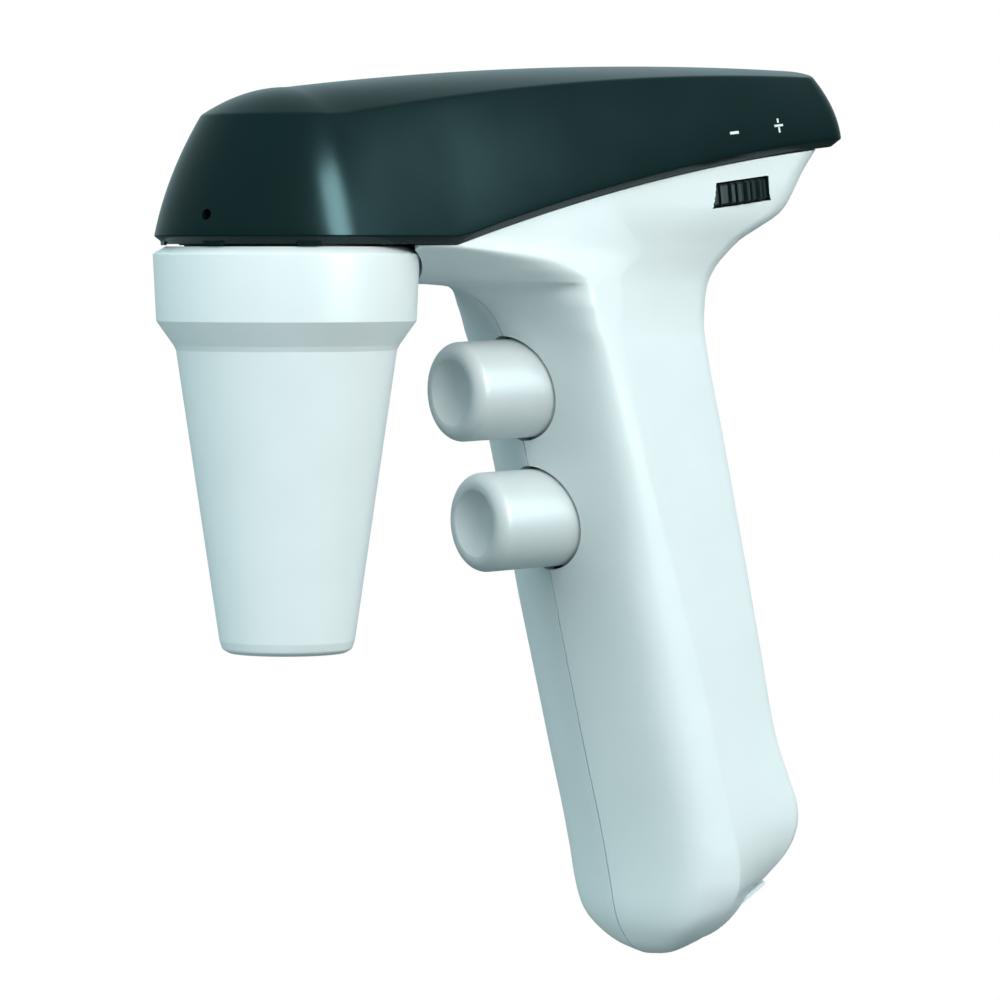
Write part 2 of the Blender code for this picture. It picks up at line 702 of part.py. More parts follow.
def nose_receptacle():
    """Black spigot under the frame. The nose turns on its plain outer wall."""
    profile = [
        (1.2, 20.5), (2.6, 20.5), (2.6, 15.3), (18.4, 15.3), (18.4, 13.3), (17.5, 13.0),
        (17.5, -1.6), (17.0, -2.0), (8.2, -2.0), (8.2, 9.0), (1.2, 9.0),
    ]
    piece = turned("nose_receptacle", profile, 28)
    for x, y in FRAME_SCREWS:
        cut(piece, rod("hole", (x, y, 9.4), (x, y, 16), 1.4, 10))
    return dress(piece, BLACK)


def nose_insides():
    """What sits in the nose below the spigot, from the valve down to the pipette grip."""
    turned("check_valve", [(1.2, 8.6), (7.8, 8.6), (7.8, -1.5), (3.4, -1.5), (3.4, 3.0), (1.2, 3.0)],
           24, GREY)
    turned("nose_gasket", [(13.2, -2.5), (15.6, -2.5), (15.6, -3.9), (13.2, -3.9)], 32, RUBBER)
    turned("membrane_filter", [
        (1.0, -18), (3.0, -18), (3.0, -12.2), (12.5, -11.6), (12.5, -6.2), (3.0, -5.6), (3.0, 1.5),
        (1.0, 1.5),
    ], 28, CLEAR)
    turned("silicone_adapter", [
        (3.4, -14.5), (9.5, -14.5), (9.5, -16.7), (8.0, -17.2), (8.0, -27), (11.0, -30), (11.0, -36),
        (8.7, -52.4), (6.6, -52.4), (5.4, -50.6), (5.3, -33), (3.3, -31), (3.3, -24), (1.2, -22),
        (1.2, -20),
        (3.4, -20),
    ], 28, SILICONE)


def pump_frame():
    """Flat carrier over the nose. The spigot hangs under it and the pump lies on it."""
    outline = [(-18.2 * math.cos(a), 18.2 * math.sin(a)) for a in np.linspace(-1.1, 1.1, 13)]
    outline += [(52.0, 16.2), (52.0, -16.2)]
    piece = prism("pump_frame", outline, FRAME_LOW, FRAME_HIGH, "Z")
    cut(piece, rod("nozzle_hole", (0, 0, 10), (0, 0, 25), 3.2, 16))
    for x, y in FRAME_SCREWS:
        cut(piece, rod("hole", (x, y, 10), (x, y, 25), 1.4, 10))
    return dress(piece, GREY)


def screw(name, place, direction, length, head_r=2.1, shank_r=1.05):
    """Pan-head screw with its head's seat at a place, its shank along a direction."""
    profile = [(0, length), (shank_r, length), (shank_r, 0), (head_r, 0), (head_r, -0.9), (1.3, -1.4),
               (0, -1.4)]
    piece = turned(name, profile, 12, STEEL)
    return stand(piece, place, direction)


def screws():
    for number, (x, y) in enumerate(FRAME_SCREWS, 1):
        screw(f"frame_screw_{number}", (x, y, FRAME_HIGH + GAP), (0, 0, -1), 8.0)
    for number, (x, z, high) in enumerate(SHELL_SCREWS, 1):
        screw(f"shell_screw_{number}", (x, SCREW_SEAT + GAP, z), (0, -1, 0), 12.5)


# ---------------------------------------------------------------- buttons and valve

def button(which):
    """Finger button: dished face, hollow skirt and a flange that stops it in its hole."""
    flange = BUTTON_FLANGE[which]
    profile = [
        (0, 3.0), (3.6, 2.6), (5.1, 1.3), (5.9, 0.1), (6.5, 0.0), (7.7, 0.5), (8.4, 1.4), (BUTTON_R, 2.6),
        (BUTTON_R, flange), (9.9, flange), (9.9, flange + 1.1), (7.2, flange + 1.1),
        (7.2, 4.6), (3.2, 4.6), (3.2, 17.0), (1.8, 17.0), (1.8, 6.5), (0, 6.5),
    ]
    piece = turned(which + "_button", profile, 24, NOSE_WHITE)
    on_button_axis(piece, which)
    x, z = button_point(which, flange)
    pivot(piece, (x, 0, z))


def stem(which):
    """Needle stem carried in the button's boss and sliding in the valve block."""
    end = BUTTON_FLANGE[which] + STEM_REACH
    profile = [(0, 7.0), (1.5, 7.0), (1.5, end - 1), (0.7, end), (0, end)]
    piece = turned(which + "_stem", profile, 12, STEEL)
    on_button_axis(piece, which)


def spring(which):
    """Return spring round the stem, between the button's flange and the valve block."""
    start = BUTTON_FLANGE[which] + 1.1 + SPRING_WIRE + 0.2
    end = BUTTON_FLANGE[which] + BLOCK_REACH - SPRING_WIRE - 0.25
    wire = bpy.data.curves.new(which + "_spring", "CURVE")
    wire.dimensions = "3D"
    wire.bevel_depth = SPRING_WIRE * MM
    wire.bevel_resolution = 0
    wire.use_fill_caps = True
    line = wire.splines.new("POLY")
    steps = SPRING_TURNS * 8
    line.points.add(steps)
    for i in range(steps + 1):
        turn = 2 * math.pi * i / 8
        back = start + (end - start) * i / steps
        x, z = button_point(which, back, SPRING_R * math.sin(turn))
        line.points[i].co = (x * MM, SPRING_R * math.cos(turn) * MM, z * MM, 1)
    piece = bpy.data.objects.new(which + "_spring", wire)
    bpy.context.scene.collection.objects.link(piece)
    colour, roughness, metallic = STEEL
    wire.materials.append(material(piece.name, colour, roughness, metallic))


def valve_block():
    """Air valve body with one bore for each stem."""
    outline = [(62.8, -4.5), (62.8, -21), (70.1, -27), (70.1, -43), (79.5, -43), (73.5, -4.5)]
    piece = prism("valve_block", outline, -7.5, 7.5)
    for which in BUTTONS:
        end = BUTTON_FLANGE[which] + STEM_REACH + BUTTON_TRAVEL + 0.6
        bore = turned("bore", [(0, 20), (2.0, 20), (2.0, end), (0, end)], 12)
        cut(piece, on_button_axis(bore, which))
    for y in (-5, 5):
        join(piece, rod("nozzle", (67, y, -6), (67, y, 0), 1.5, 12))
    return dress(piece, GREY)


def switch(which):
    """Micro switch beside the valve block, with its plunger behind the button's flange."""
    flange = BUTTON_FLANGE[which]
    x, z = button_point(which, flange + BLOCK_REACH)
    piece = block(which + "_switch", (x + 0.6, 7.9, z - 4), (x + 4.6, 11.6, z + 4))
    tip = button_point(which, flange + 1.1 + BUTTON_TRAVEL + GAP)
    join(piece, rod("plunger", (tip[0], 8.9, z), (x + 3, 8.9, z), 0.8, 8))
    dress(piece, BLACK)


# ---------------------------------------------------------------- pump


def pump_motor():
    """Flat-sided motor can lying along X, with a bearing hole for its shaft."""
    outline = []
    for i in range(24):
        a = 2 * math.pi * (i + 0.5) / 24
        outline.append((10.2 * math.cos(a), PUMP_AXIS_Z + max(-7.7, min(7.7, 10.2 * math.sin(a)))))
    piece = prism("pump_motor", outline, MOTOR_FACE_X, MOTOR_FACE_X + 25, "X")
    low = (MOTOR_FACE_X - 1, 0, PUMP_AXIS_Z)
    high = (MOTOR_FACE_X + 12, 0, PUMP_AXIS_Z)
    cut(piece, rod("bearing", low, high, 1.3, 14))
    dress(piece, STEEL)


def crank_parts():
    """Shaft and eccentric turn together. The rod's eye has room for a full turn."""
    shaft = rod("motor_shaft", (15, 0, PUMP_AXIS_Z), (41, 0, PUMP_AXIS_Z), 1.0, 14, STEEL)
    pivot(shaft, (28, 0, PUMP_AXIS_Z))
    low_z = PUMP_AXIS_Z - CRANK
    eccentric = rod("drive_eccentric", (16.5, 0, low_z), (19.5, 0, low_z), 2.25, 18)
    cut(eccentric, rod("bore", (10, 0, PUMP_AXIS_Z), (25, 0, PUMP_AXIS_Z), 1.25, 14))
    dress(eccentric, BRASS)
    pivot(eccentric, (18, 0, PUMP_AXIS_Z))
    eye = rod("connecting_rod", (16.7, 0, PUMP_AXIS_Z), (19.3, 0, PUMP_AXIS_Z), 4.1, 20)
    join(eye, block("stalk", (16.9, -1.4, PUMP_AXIS_Z + 3), (19.1, 1.4, 30.9)))
    cut(eye, rod("eye", (10, 0, PUMP_AXIS_Z), (25, 0, PUMP_AXIS_Z), 3.3, 20))
    dress(eye, GREY)


def pump():
    """Diaphragm pump: crank case, diaphragm and valve head with two nozzles."""
    case = block("pump_housing", (8.5, -9, 19), (29.5, 9, 30.9))
    cut(case, block("pocket", (12, -7, 20.8), (26, 7, 40)))
    cut(case, rod("shaft_hole", (20, 0, PUMP_AXIS_Z), (35, 0, PUMP_AXIS_Z), 1.5, 14))
    dress(case, BLACK)
    turned("pump_diaphragm", [(0, 31.2), (8.6, 31.2), (8.6, 32.0), (0, 32.0)], 24, RUBBER)
    bpy.data.objects["pump_diaphragm"].data.transform(Matrix.Translation(Vector((19, 0, 0)) * MM))
    head = block("pump_head", (8.5, -9, 32.3), (29.5, 9, 35.6))
    for y in (-5, 5):
        join(head, rod("nozzle", (3.4, y, 34), (12, y, 34), 1.3, 12))
    dress(head, GREY)
    sides = [(-12.4, 17.9), (12.4, 17.9), (12.4, 24), (10.7, 24), (10.7, 18.7), (-10.7, 18.7),
             (-10.7, 24), (-12.4, 24)]
    prism("pump_cradle", sides, 9.0, 50.0, "X", FOAM)


def smooth_route(knots, count):
    """Points along a Catmull-Rom curve through a route's own points."""
    line = np.array([2 * np.array(knots[0]) - np.array(knots[1])] + list(map(np.array, knots))
                    + [2 * np.array(knots[-1]) - np.array(knots[-2])], float)
    spans = len(knots) - 1
    points = []
    for i in range(count):
        u = spans * i / (count - 1)
        k = min(int(u), spans - 1)
        t = u - k
        a, b, c, d = line[k:k + 4]
        points.append(0.5 * (2 * b + (c - a) * t + (2 * a - 5 * b + 4 * c - d) * t * t
                             + (3 * b - a - 3 * c + d) * t ** 3))
    return points


def air_tubes():
    for name, knots in TUBES.items():
        tube = bpy.data.curves.new(name, "CURVE")
        tube.dimensions = "3D"
        tube.bevel_depth = TUBE_R * MM
        tube.bevel_resolution = 1
        tube.use_fill_caps = True
        line = tube.splines.new("POLY")
        count = 2 * len(knots)
        line.points.add(count - 1)
        for i, p in enumerate(smooth_route(knots, count)):
            line.points[i].co = (*(p * MM), 1)
        piece = bpy.data.objects.new(name, tube)
        bpy.context.scene.collection.objects.link(piece)
        colour, roughness, metallic = CLEAR
        tube.materials.append(material(name, colour, roughness, metallic))


def exhaust_filter():
    """Porous plug just behind the vent hole."""
    a = math.radians(VENT_ANGLE)
    place = [(r * math.cos(a), r * math.sin(a), 20.3) for r in (13.4, 17.0)]
    rod("exhaust_filter", place[0], place[1], 2.2, 16, FOAM)


# ---------------------------------------------------------------- wheel and electronics

def wheel_block(name, along, across, up, finish=None):
    """Block lying square to the speed wheel's axis."""
    corners = [tilted(WHEEL_X, WHEEL_Z, WHEEL_TILT, a, u) for a, u in
               ((along[0], up[0]), (along[1], up[0]), (along[1], up[1]), (along[0], up[1]))]
    return prism(name, corners, across[0], across[1], "Y", finish)


def speed_wheel():
    """Ribbed disc on a tilted upright axis, with a short shaft up into its control."""
    outline = []
    pitch = 2 * math.pi / WHEEL_RIBS
    for i in range(WHEEL_RIBS):
        for share, radius in ((0.0, WHEEL_R - 0.5), (0.3, WHEEL_R), (0.7, WHEEL_R)):
            a = pitch * (i + share)
            outline.append((radius * math.cos(a), radius * math.sin(a)))
    wheel = prism("speed_wheel", outline, -WHEEL_THICK / 2, WHEEL_THICK / 2, "Z")
    join(wheel, rod("shaft", (0, 0, 0), (0, 0, 6.2), 1.5, 14))
    wheel_frame(wheel)
    dress(wheel, BLACK)
    pivot(wheel, (WHEEL_X, 0, WHEEL_Z))


def electronics():
    """Speed control and board over the wheel, cells and inlet in the grip."""
    control = wheel_block("speed_potentiometer", (-5, 5), (-5, 5), (2.8, 6.8))
    cut(control, wheel_frame(rod("hole", (0, 0, -5), (0, 0, 10), 1.9, 14)))
    dress(control, GREY)
    board = wheel_block("circuit_board", (-24, 16), (-11, 11), (7.1, 8.7))
    for along, across in (((-20, -12), (-4, 4)), ((-8, -4), (2, 8)), ((6, 12), (-8, -2))):
        join(board, wheel_block("chip", along, across, (8.2, 10.2)))
    dress(board, BOARD_GREEN)


def cell_place(down, back):
    """Point (x, z) in the cells' leaning frame."""
    ca = math.cos(CELL_ANGLE)
    sa = math.sin(CELL_ANGLE)
    return CELL_TOP[0] + down * sa + back * ca, CELL_TOP[1] - down * ca + back * sa


def cell_block(name, down, back, half, finish=None):
    corners = [cell_place(d, b) for d, b in
               ((down[0], back[0]), (down[1], back[0]), (down[1], back[1]), (down[0], back[1]))]
    return prism(name, corners, -half, half, "Y", finish)


def battery():
    direction = (math.sin(CELL_ANGLE), 0, -math.cos(CELL_ANGLE))
    for name, y in (("battery_cell_left", -7.3), ("battery_cell_right", 7.3)):
        profile = [(0, 0), (CELL_R, 0), (CELL_R, CELL_LENGTH - 1), (2.6, CELL_LENGTH - 1),
                   (2.6, CELL_LENGTH), (0, CELL_LENGTH)]
        piece = turned(name, profile, 24, CELL_BLUE)
        stand(piece, (CELL_TOP[0], y, CELL_TOP[1]), direction)
    cell_block("cell_contact_upper", (-1.1, -0.3), (-4, 4), 11, STEEL)
    cell_block("cell_contact_lower", (CELL_LENGTH + 0.3, CELL_LENGTH + 1.1), (-4, 4), 11, STEEL)
    cell_block("battery_cradle", (-1.0, CELL_LENGTH + 1.0), (7.4, 8.6), 6.8, BLACK)


def charging_inlet():
    """Low-voltage socket in the heel, and the thin plate round its mouth."""
    socket = heel_prism("charge_socket", (-4.6, 4.6), (-7.6, 0.6), 4.6)
    mouth = [heel_place(0, out) for out in (-6.2, 3.0)]
    cut(socket, rod("mouth", (mouth[0][0], 0, mouth[0][1]), (mouth[1][0], 0, mouth[1][1]), 3.0, 20))
    pin = [heel_place(0, out) for out in (-7.0, -1.0)]
    join(socket, rod("pin", (pin[0][0], 0, pin[0][1]), (pin[1][0], 0, pin[1][1]), 0.9, 12))
    dress(socket, BLACK)
    plate = heel_prism("charge_bezel", (-7.6, 7.6), (GAP, 1.0), 7.6)
    cut(plate, heel_prism("mouth", (-5.0, 5.0), (-3, 3), 5.0))
    dress(plate, HANDLE_WHITE)


def main():
    clear_scene()
    handle_shells()
    top_cover()
    adapter_housing()
    nose_receptacle()
    nose_insides()
    pump_frame()
    screws()
    for which in BUTTONS:
        button(which)
        stem(which)
        spring(which)
        switch(which)
    valve_block()
    pump_motor()
    crank_parts()
    pump()
    air_tubes()
    exhaust_filter()
    speed_wheel()
    electronics()
    battery()
    charging_inlet()


main()
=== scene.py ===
"""Looks of the motorized pipette controller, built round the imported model.

Lengths in the shape code are millimetres in the part's own frame: +X rearward,
+Y to the user's right, +Z up the pipette axis.
"""
import json
import math

import bmesh
import bpy
import numpy as np
from mathutils import Matrix, Vector


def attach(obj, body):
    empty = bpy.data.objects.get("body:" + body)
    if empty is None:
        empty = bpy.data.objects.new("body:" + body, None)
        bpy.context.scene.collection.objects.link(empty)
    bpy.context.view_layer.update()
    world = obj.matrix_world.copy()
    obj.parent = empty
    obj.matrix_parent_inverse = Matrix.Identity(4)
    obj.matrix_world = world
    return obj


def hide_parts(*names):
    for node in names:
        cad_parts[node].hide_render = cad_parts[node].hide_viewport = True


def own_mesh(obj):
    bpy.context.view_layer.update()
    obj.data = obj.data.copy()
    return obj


MM = 0.001

# Handle shells
SHELL_WALL = 2.2
SEAM = 0.16                   # half the gap between the two shells
HORN_X = 14.0                 # the shells reach forward to here beside the collar
COLLAR_CLEAR_R = 23.15
EDGE_GAP = 0.2                # between the shells' top and the cover's lower edge
VIEW_COS = 0.819              # the rear corner line below is given across this direction
VIEW_SIN = 0.574
SHELL_SCREWS = [(61.0, 2.5), (66.0, -60.0), (97.6, -90.0), (80.2, 10.7)]      # each (x, z)
SCREW_SEAT = 6.0              # from the centre plane out to a screw head
SCREW_HEAD_R = 2.6

# Top cover
COVER_FRONT_R = 22.5          # plan radius of the cover's front about the pipette axis
COVER_TAPER = 0.00062         # half width lost per square millimetre of distance rearward
COVER_REAR_X = 110.6
COVER_REAR_R = 3.6
RIDGE_FRONT_R = 14.5          # plan radius of the crease round the crown
RIDGE_REAR_X = 106.3
RIDGE_REAR_R = 3.2
RIDGE_FILLET = 2.6
LIP_INSET = 1.7
LIP_HEIGHT = 1.35
WALL_BULGE = 1.0
COVER_WALL = 1.8
EDGE_Z = 13.05                # cover's lower edge over the nose
EDGE_BREAK_X = 21.4           # the lower edge starts to climb here
EDGE_RISE = 0.31              # slope of the edge where it starts, and what it loses with distance
EDGE_BEND = 0.001237
RIDGE_Z = 34.9
RIDGE_RISE = 0.17
RIDGE_BEND = 0.00088
CROWN_Z = 39.75
CROWN_RISE = 0.118
CROWN_BEND = 0.00068
COVER_STEPS = (40, 36, 12, 6)  # columns round the front, along the side, round the rear, across
VENT_ANGLE = -160.6
VENT_Z = 17.5
VENT_R = 0.95
TAB_COUNT = 8
MARK_TILT = math.radians(6.0)
# Name, centre x, centre z, half length, half height of each printed bar
MARK_BARS = [("mark_minus", 82.5, 32.75, 1.05, 0.24), ("mark_plus", 93.3, 34.2, 1.05, 0.2),
             ("mark_plus_upright", 93.3, 34.2, 0.22, 1.25)]

# Nose: radius, z and fillet of each corner, from the collar's top down the outside and up the bore
NOSE_PROFILE = [
    (20.6, 12.65, 0.15), (22.75, 11.4, 0.2), (22.2, 0.0, 0.35), (19.3, -4.1, 0.5), (18.85, -5.0, 0.5),
    (11.6, -54.6, 1.2), (11.1, -56.1, 0.9), (10.0, -56.7, 0.5), (8.2, -56.7, 0.4), (7.6, -56.1, 0.3),
    (7.6, -53.5, 0.2), (9.3, -53.0, 0), (16.0, -7.0, 0), (17.9, -4.4, 0), (17.9, 12.65, 0.1),
]

# Buttons
BUTTON_R = 8.75
BUTTON_HOLE_R = 9.35
SEAT_R = 10.4                 # recess inside the shells for a button's flange
BUTTON_TILT = math.radians(2.0)
BUTTONS = {"aspirate": (33.9, -12.8), "dispense": (38.8, -35.8)}
BUTTON_FLANGE = {"aspirate": 19.2, "dispense": 21.5}      # from the face back to the flange
FLANGE_R = 9.9
FLANGE_GAP = 0.3
DISH_R = 5.9
DISH_DEPTH = 3.0
RIM_R = 2.3
SPRING_R = 3.6
SPRING_WIRE = 0.33
SPRING_TURNS = 5
TURN_STEPS = 24
SPRING_SPAN = (1.65, 9.1)     # from a button's flange back to the spring's two ends

# Speed wheel
WHEEL_X = 84.6
WHEEL_Z = 22.2
WHEEL_R = 16.8
WHEEL_THICK = 3.8
WHEEL_TILT = math.radians(6.8)
WHEEL_PAIRS = 30
WHEEL_BEVEL = 0.35
WHEEL_ROOM = (WHEEL_R + 0.35, 2.25)       # radius and half height of the room that the wheel turns in
# Share of a rib pair's pitch, and depth below the wheel's radius
RIB_STEPS = [(0.00, 0.0), (0.10, 0.05), (0.20, 0.0), (0.25, 0.5), (0.33, 0.55), (0.38, 0.0),
             (0.48, 0.05), (0.58, 0.0), (0.65, 0.7), (0.92, 0.75)]
SLOT = (80.6, 92.4)           # the window's ends along X
SLOT_HALF = 2.2

# Heel
HEEL_POINT = (91.0, -106.0)   # a point on the oblique end face (x, z)
HEEL_ANGLE = math.radians(31.0)
HEEL_ROUND = 8.5              # depth over which the handle narrows towards its heel
HEEL_NARROWING = 0.44
INLET_HALF = 5.3

# Camera and stage
TARGET = (44.45, 0.0, -31.9)
VIEW_DIRECTION = (0.5729, 0.8181, -0.0499)
DISTANCE = 880.0
LENS = 180.0
SENSOR = 36.0
FAR_LIMIT = 50.0              # metres, like all of the stage below
FLOOR_Z = -0.32
FLOOR_REACH = 30.0
FLOOR_COLOUR = (0.14, 0.16, 0.16, 1)
SKY_LOW = (0.06, 0.16, 0.19)
SKY_HIGH = (0.62, 0.84, 0.88)
SKY_BLEND = 0.5               # the sky changes between this share down and up
# Name, direction from the object, distance, size, power, colour, and how it is seen:
# "glow" stays out of reflections, "shine" is only in them
LIGHTS = [
    ("key", (-0.12, -0.95, 0.62), 1.3, (1.1, 0.7), 11.5, (1.0, 0.95, 0.92), "glow"),
    ("fill", (0.95, -0.30, 0.30), 1.3, (0.5, 0.8), 3.0, (1.0, 0.95, 0.9), "glow"),
    ("rim", (-0.98, 0.02, 0.15), 1.2, (0.5, 0.9), 4.0, (0.85, 1.0, 1.0), "glow"),
    ("strip", (0.25, -0.968, 0.42), 1.2, (0.38, 0.9), 40.0, (0.72, 0.94, 1.0), "shine"),
]

# Plastic finishes
CLOUD_SCALE = 90.0            # of the slight change in colour and gloss, per metre
GLOSS_SPREAD = 0.04
GRAIN_DEPTH = 0.02            # millimetres
COAT_ROUGHNESS = 0.25
COVER_TINT = (0.7, 1.0, 1.0, 1)


# ---------------------------------------------------------------- mesh helpers

def curve(table):
    """Smooth monotone curve through (position, value) pairs."""
    xs = np.array([row[0] for row in table], float)
    ys = np.array([row[1] for row in table], float)
    step = np.diff(xs)
    slope = np.diff(ys) / step
    tangent = np.zeros(len(xs))
    tangent[0] = slope[0]
    tangent[-1] = slope[-1]
    for i in range(1, len(xs) - 1):
        if slope[i - 1] * slope[i] > 0:
            before = 2 * step[i] + step[i - 1]
            after = step[i] + 2 * step[i - 1]
            tangent[i] = (before + after) / (before / slope[i - 1] + after / slope[i])

    def value(x):
        x = min(max(x, xs[0]), xs[-1])
        i = min(int(np.searchsorted(xs, x, side="right")) - 1, len(step) - 1)
        t = (x - xs[i]) / step[i]
        return float(
            (1 + 2 * t) * (1 - t) ** 2 * ys[i]
            + t * (1 - t) ** 2 * step[i] * tangent[i]
            + t * t * (3 - 2 * t) * ys[i + 1]
            + t * t * (t - 1) * step[i] * tangent[i + 1]
        )

    return value


def solid(name, points, faces):
    """Closed mesh object from millimetre points, with its faces turned outward."""
    mesh = bpy.data.meshes.new(name)
    mesh.from_pydata([tuple(c * MM for c in p) for p in points], [], faces)
    work = bmesh.new()
    work.from_mesh(mesh)
    bmesh.ops.remove_doubles(work, verts=work.verts, dist=1e-7)
    bmesh.ops.recalc_face_normals(work, faces=work.faces)
    work.to_mesh(mesh)
    work.free()
    thing = bpy.data.objects.new(name, mesh)
    bpy.context.scene.collection.objects.link(thing)
    return thing


def smooth(thing, sharp=35.0):
    thing.data.shade_smooth()
    thing.data.set_sharp_from_angle(angle=math.radians(sharp))
    return thing


def loft(name, rings):
    """Solid through closed rings of equal length, with flat ends."""
    count = len(rings[0])
    points = [p for ring in rings for p in ring]
    faces = [list(range(count)), list(range(len(points) - count, len(points)))]
    for i in range(len(rings) - 1):
        for j in range(count):
            k = (j + 1) % count
            faces.append([i * count + j, i * count + k, (i + 1) * count + k, (i + 1) * count + j])
    return solid(name, points, faces)


def turned(name, profile, sides=96):
    """Solid of revolution about Z from a closed profile of (radius, z) points."""
    angles = [2 * math.pi * i / sides for i in range(sides)]
    points = []
    index = []
    for radius, height in profile:
        if radius < 1e-6:
            index.append([len(points)] * sides)
            points.append((0.0, 0.0, height))
        else:
            index.append(list(range(len(points), len(points) + sides)))
            points += [(radius * math.cos(a), radius * math.sin(a), height) for a in angles]
    faces = []
    for i in range(len(profile)):
        here = index[i]
        there = index[(i + 1) % len(profile)]
        for j in range(sides):
            k = (j + 1) % sides
            corners = []
            for corner in (here[j], here[k], there[k], there[j]):
                if corner not in corners:
                    corners.append(corner)
            if len(corners) > 2:
                faces.append(corners)
    return solid(name, points, faces)


def prism(name, outline, low, high, axis="Y"):
    place = {
        "X": lambda a, b, t: (t, a, b),
        "Y": lambda a, b, t: (a, t, b),
        "Z": lambda a, b, t: (a, b, t),
    }[axis]
    return loft(name, [[place(a, b, t) for a, b in outline] for t in (low, high)])


def stand(piece, place, direction=(0, 0, 1)):
    turn = Vector((0, 0, 1)).rotation_difference(Vector(direction)).to_matrix().to_4x4()
    piece.data.transform(Matrix.Translation(Vector(place) * MM) @ turn)
    return piece


def rod(name, start, end, radius, sides=48):
    a = Vector(start)
    run = Vector(end) - a
    piece = turned(name, [(0, 0), (radius, 0), (radius, run.length), (0, run.length)], sides)
    return stand(piece, start, run)


def combine(piece, other, how):
    """Boolean of two objects, applied to the first. The second is used up."""
    tool = piece.modifiers.new(how, "BOOLEAN")
    tool.operation = how
    tool.solver = "EXACT"
    tool.object = other
    bpy.context.view_layer.update()
    shape = piece.evaluated_get(bpy.context.evaluated_depsgraph_get())
    mesh = bpy.data.meshes.new_from_object(shape)
    work = bmesh.new()
    work.from_mesh(mesh)
    bmesh.ops.remove_doubles(work, verts=work.verts, dist=0.002 * MM)
    bmesh.ops.dissolve_degenerate(work, dist=0.001 * MM, edges=work.edges)
    work.to_mesh(mesh)
    work.free()
    piece.modifiers.clear()
    piece.data = mesh
    mesh.name = piece.name
    bpy.data.objects.remove(other, do_unlink=True)
    return piece


def cut(piece, *others):
    for other in others:
        combine(piece, other, "DIFFERENCE")
    return piece


def join(piece, *others):
    for other in others:
        combine(piece, other, "UNION")
    return piece


def arc_corner(before, here, after, radius, steps):
    """Points of an arc that rounds one corner of a polyline."""
    here = np.array(here, float)
    a = np.array(before, float) - here
    b = np.array(after, float) - here
    la = np.linalg.norm(a)
    lb = np.linalg.norm(b)
    a /= la
    b /= lb
    half = math.acos(max(-1.0, min(1.0, float(a @ b)))) / 2
    reach = min(radius / math.tan(half), 0.48 * la, 0.48 * lb)
    radius = reach * math.tan(half)
    centre = here + (a + b) / np.linalg.norm(a + b) * radius / math.sin(half)
    start = here + a * reach - centre
    end = here + b * reach - centre
    sweep = math.pi - 2 * half
    points = []
    for s in range(steps + 1):
        t = s / steps
        p = (math.sin((1 - t) * sweep) * start + math.sin(t * sweep) * end) / math.sin(sweep)
        points.append(tuple(centre + p))
    return points


def filleted(profile, steps=6):
    """Closed profile of (radius, z, fillet) with each corner rounded by its own fillet."""
    count = len(profile)
    path = []
    for i, (r, z, fillet) in enumerate(profile):
        if fillet <= 0:
            path.append((r, z))
            continue
        before = profile[i - 1][:2]
        after = profile[(i + 1) % count][:2]
        path += arc_corner(before, (r, z), after, fillet, steps)
    return path


def tilted(x, z, angle, along, up):
    return (x + along * math.cos(angle) - up * math.sin(angle),
            z + along * math.sin(angle) + up * math.cos(angle))


# ---------------------------------------------------------------- handle shells

# Handle outline at each height. FRONT is the seam on the centre plane, REAR_LINE the
# reach of the rear corner across the viewing direction, the rest are half widths.
FRONT = curve([
    (-115.1, 78.6), (-114.4, 75.9), (-112.9, 73.3), (-111.1, 71.8), (-108.4, 70.3), (-105, 69.3),
    (-101.2, 68.6), (-91.3, 66.5), (-79.1, 63.4), (-58.6, 58.4), (-44.1, 55.0), (-26.8, 50.7),
    (-12, 47.2), (-3.4, 45.1), (0.7, 42.8), (3.7, 39.2), (5.4, 35.2), (6.0, 31.0), (6.25, 24.0),
    (6.45, HORN_X), (40, HORN_X),
])
REAR_LINE = curve([
    (-115.1, 78.0), (-112.9, 80.2), (-109.5, 82.0), (-105.6, 83.6), (-101.3, 85.8),
    (-97.4, 88.5), (-94.6, 89.5), (-91.7, 89.9), (-88.2, 89.5), (-84.6, 88.3), (-75.6, 85.35),
    (-58.4, 82.25), (-43.8, 79.65), (-21.5, 75.6), (-5.5, 72.6), (-1.3, 72.1), (2.6, 72.3),
    (6.0, 72.9), (8.8, 74.3), (11.7, 76.8), (13.8, 79.0), (16.5, 83.1), (18.5, 86.0), (20.6, 87.7),
    (23.3, 89.2), (26, 90.7), (28.7, 92.5), (33, 95.2),
])
FRONT_SWEEP = curve([
    (-115.1, 1.6), (-108.4, 2.6), (-95, 3.9), (-50, 4.0), (-36, 4.8), (-12, 5.0), (-3, 4.7),
    (0.7, 5.4), (3.7, 7.8), (5.4, 11.3), (6.0, 15.2), (6.25, 22.1), (6.45, 32.0), (9, 26.0),
    (11.3, 16.0), (12.7, 6.0), (14.5, 0.0), (40, 0.0),
])
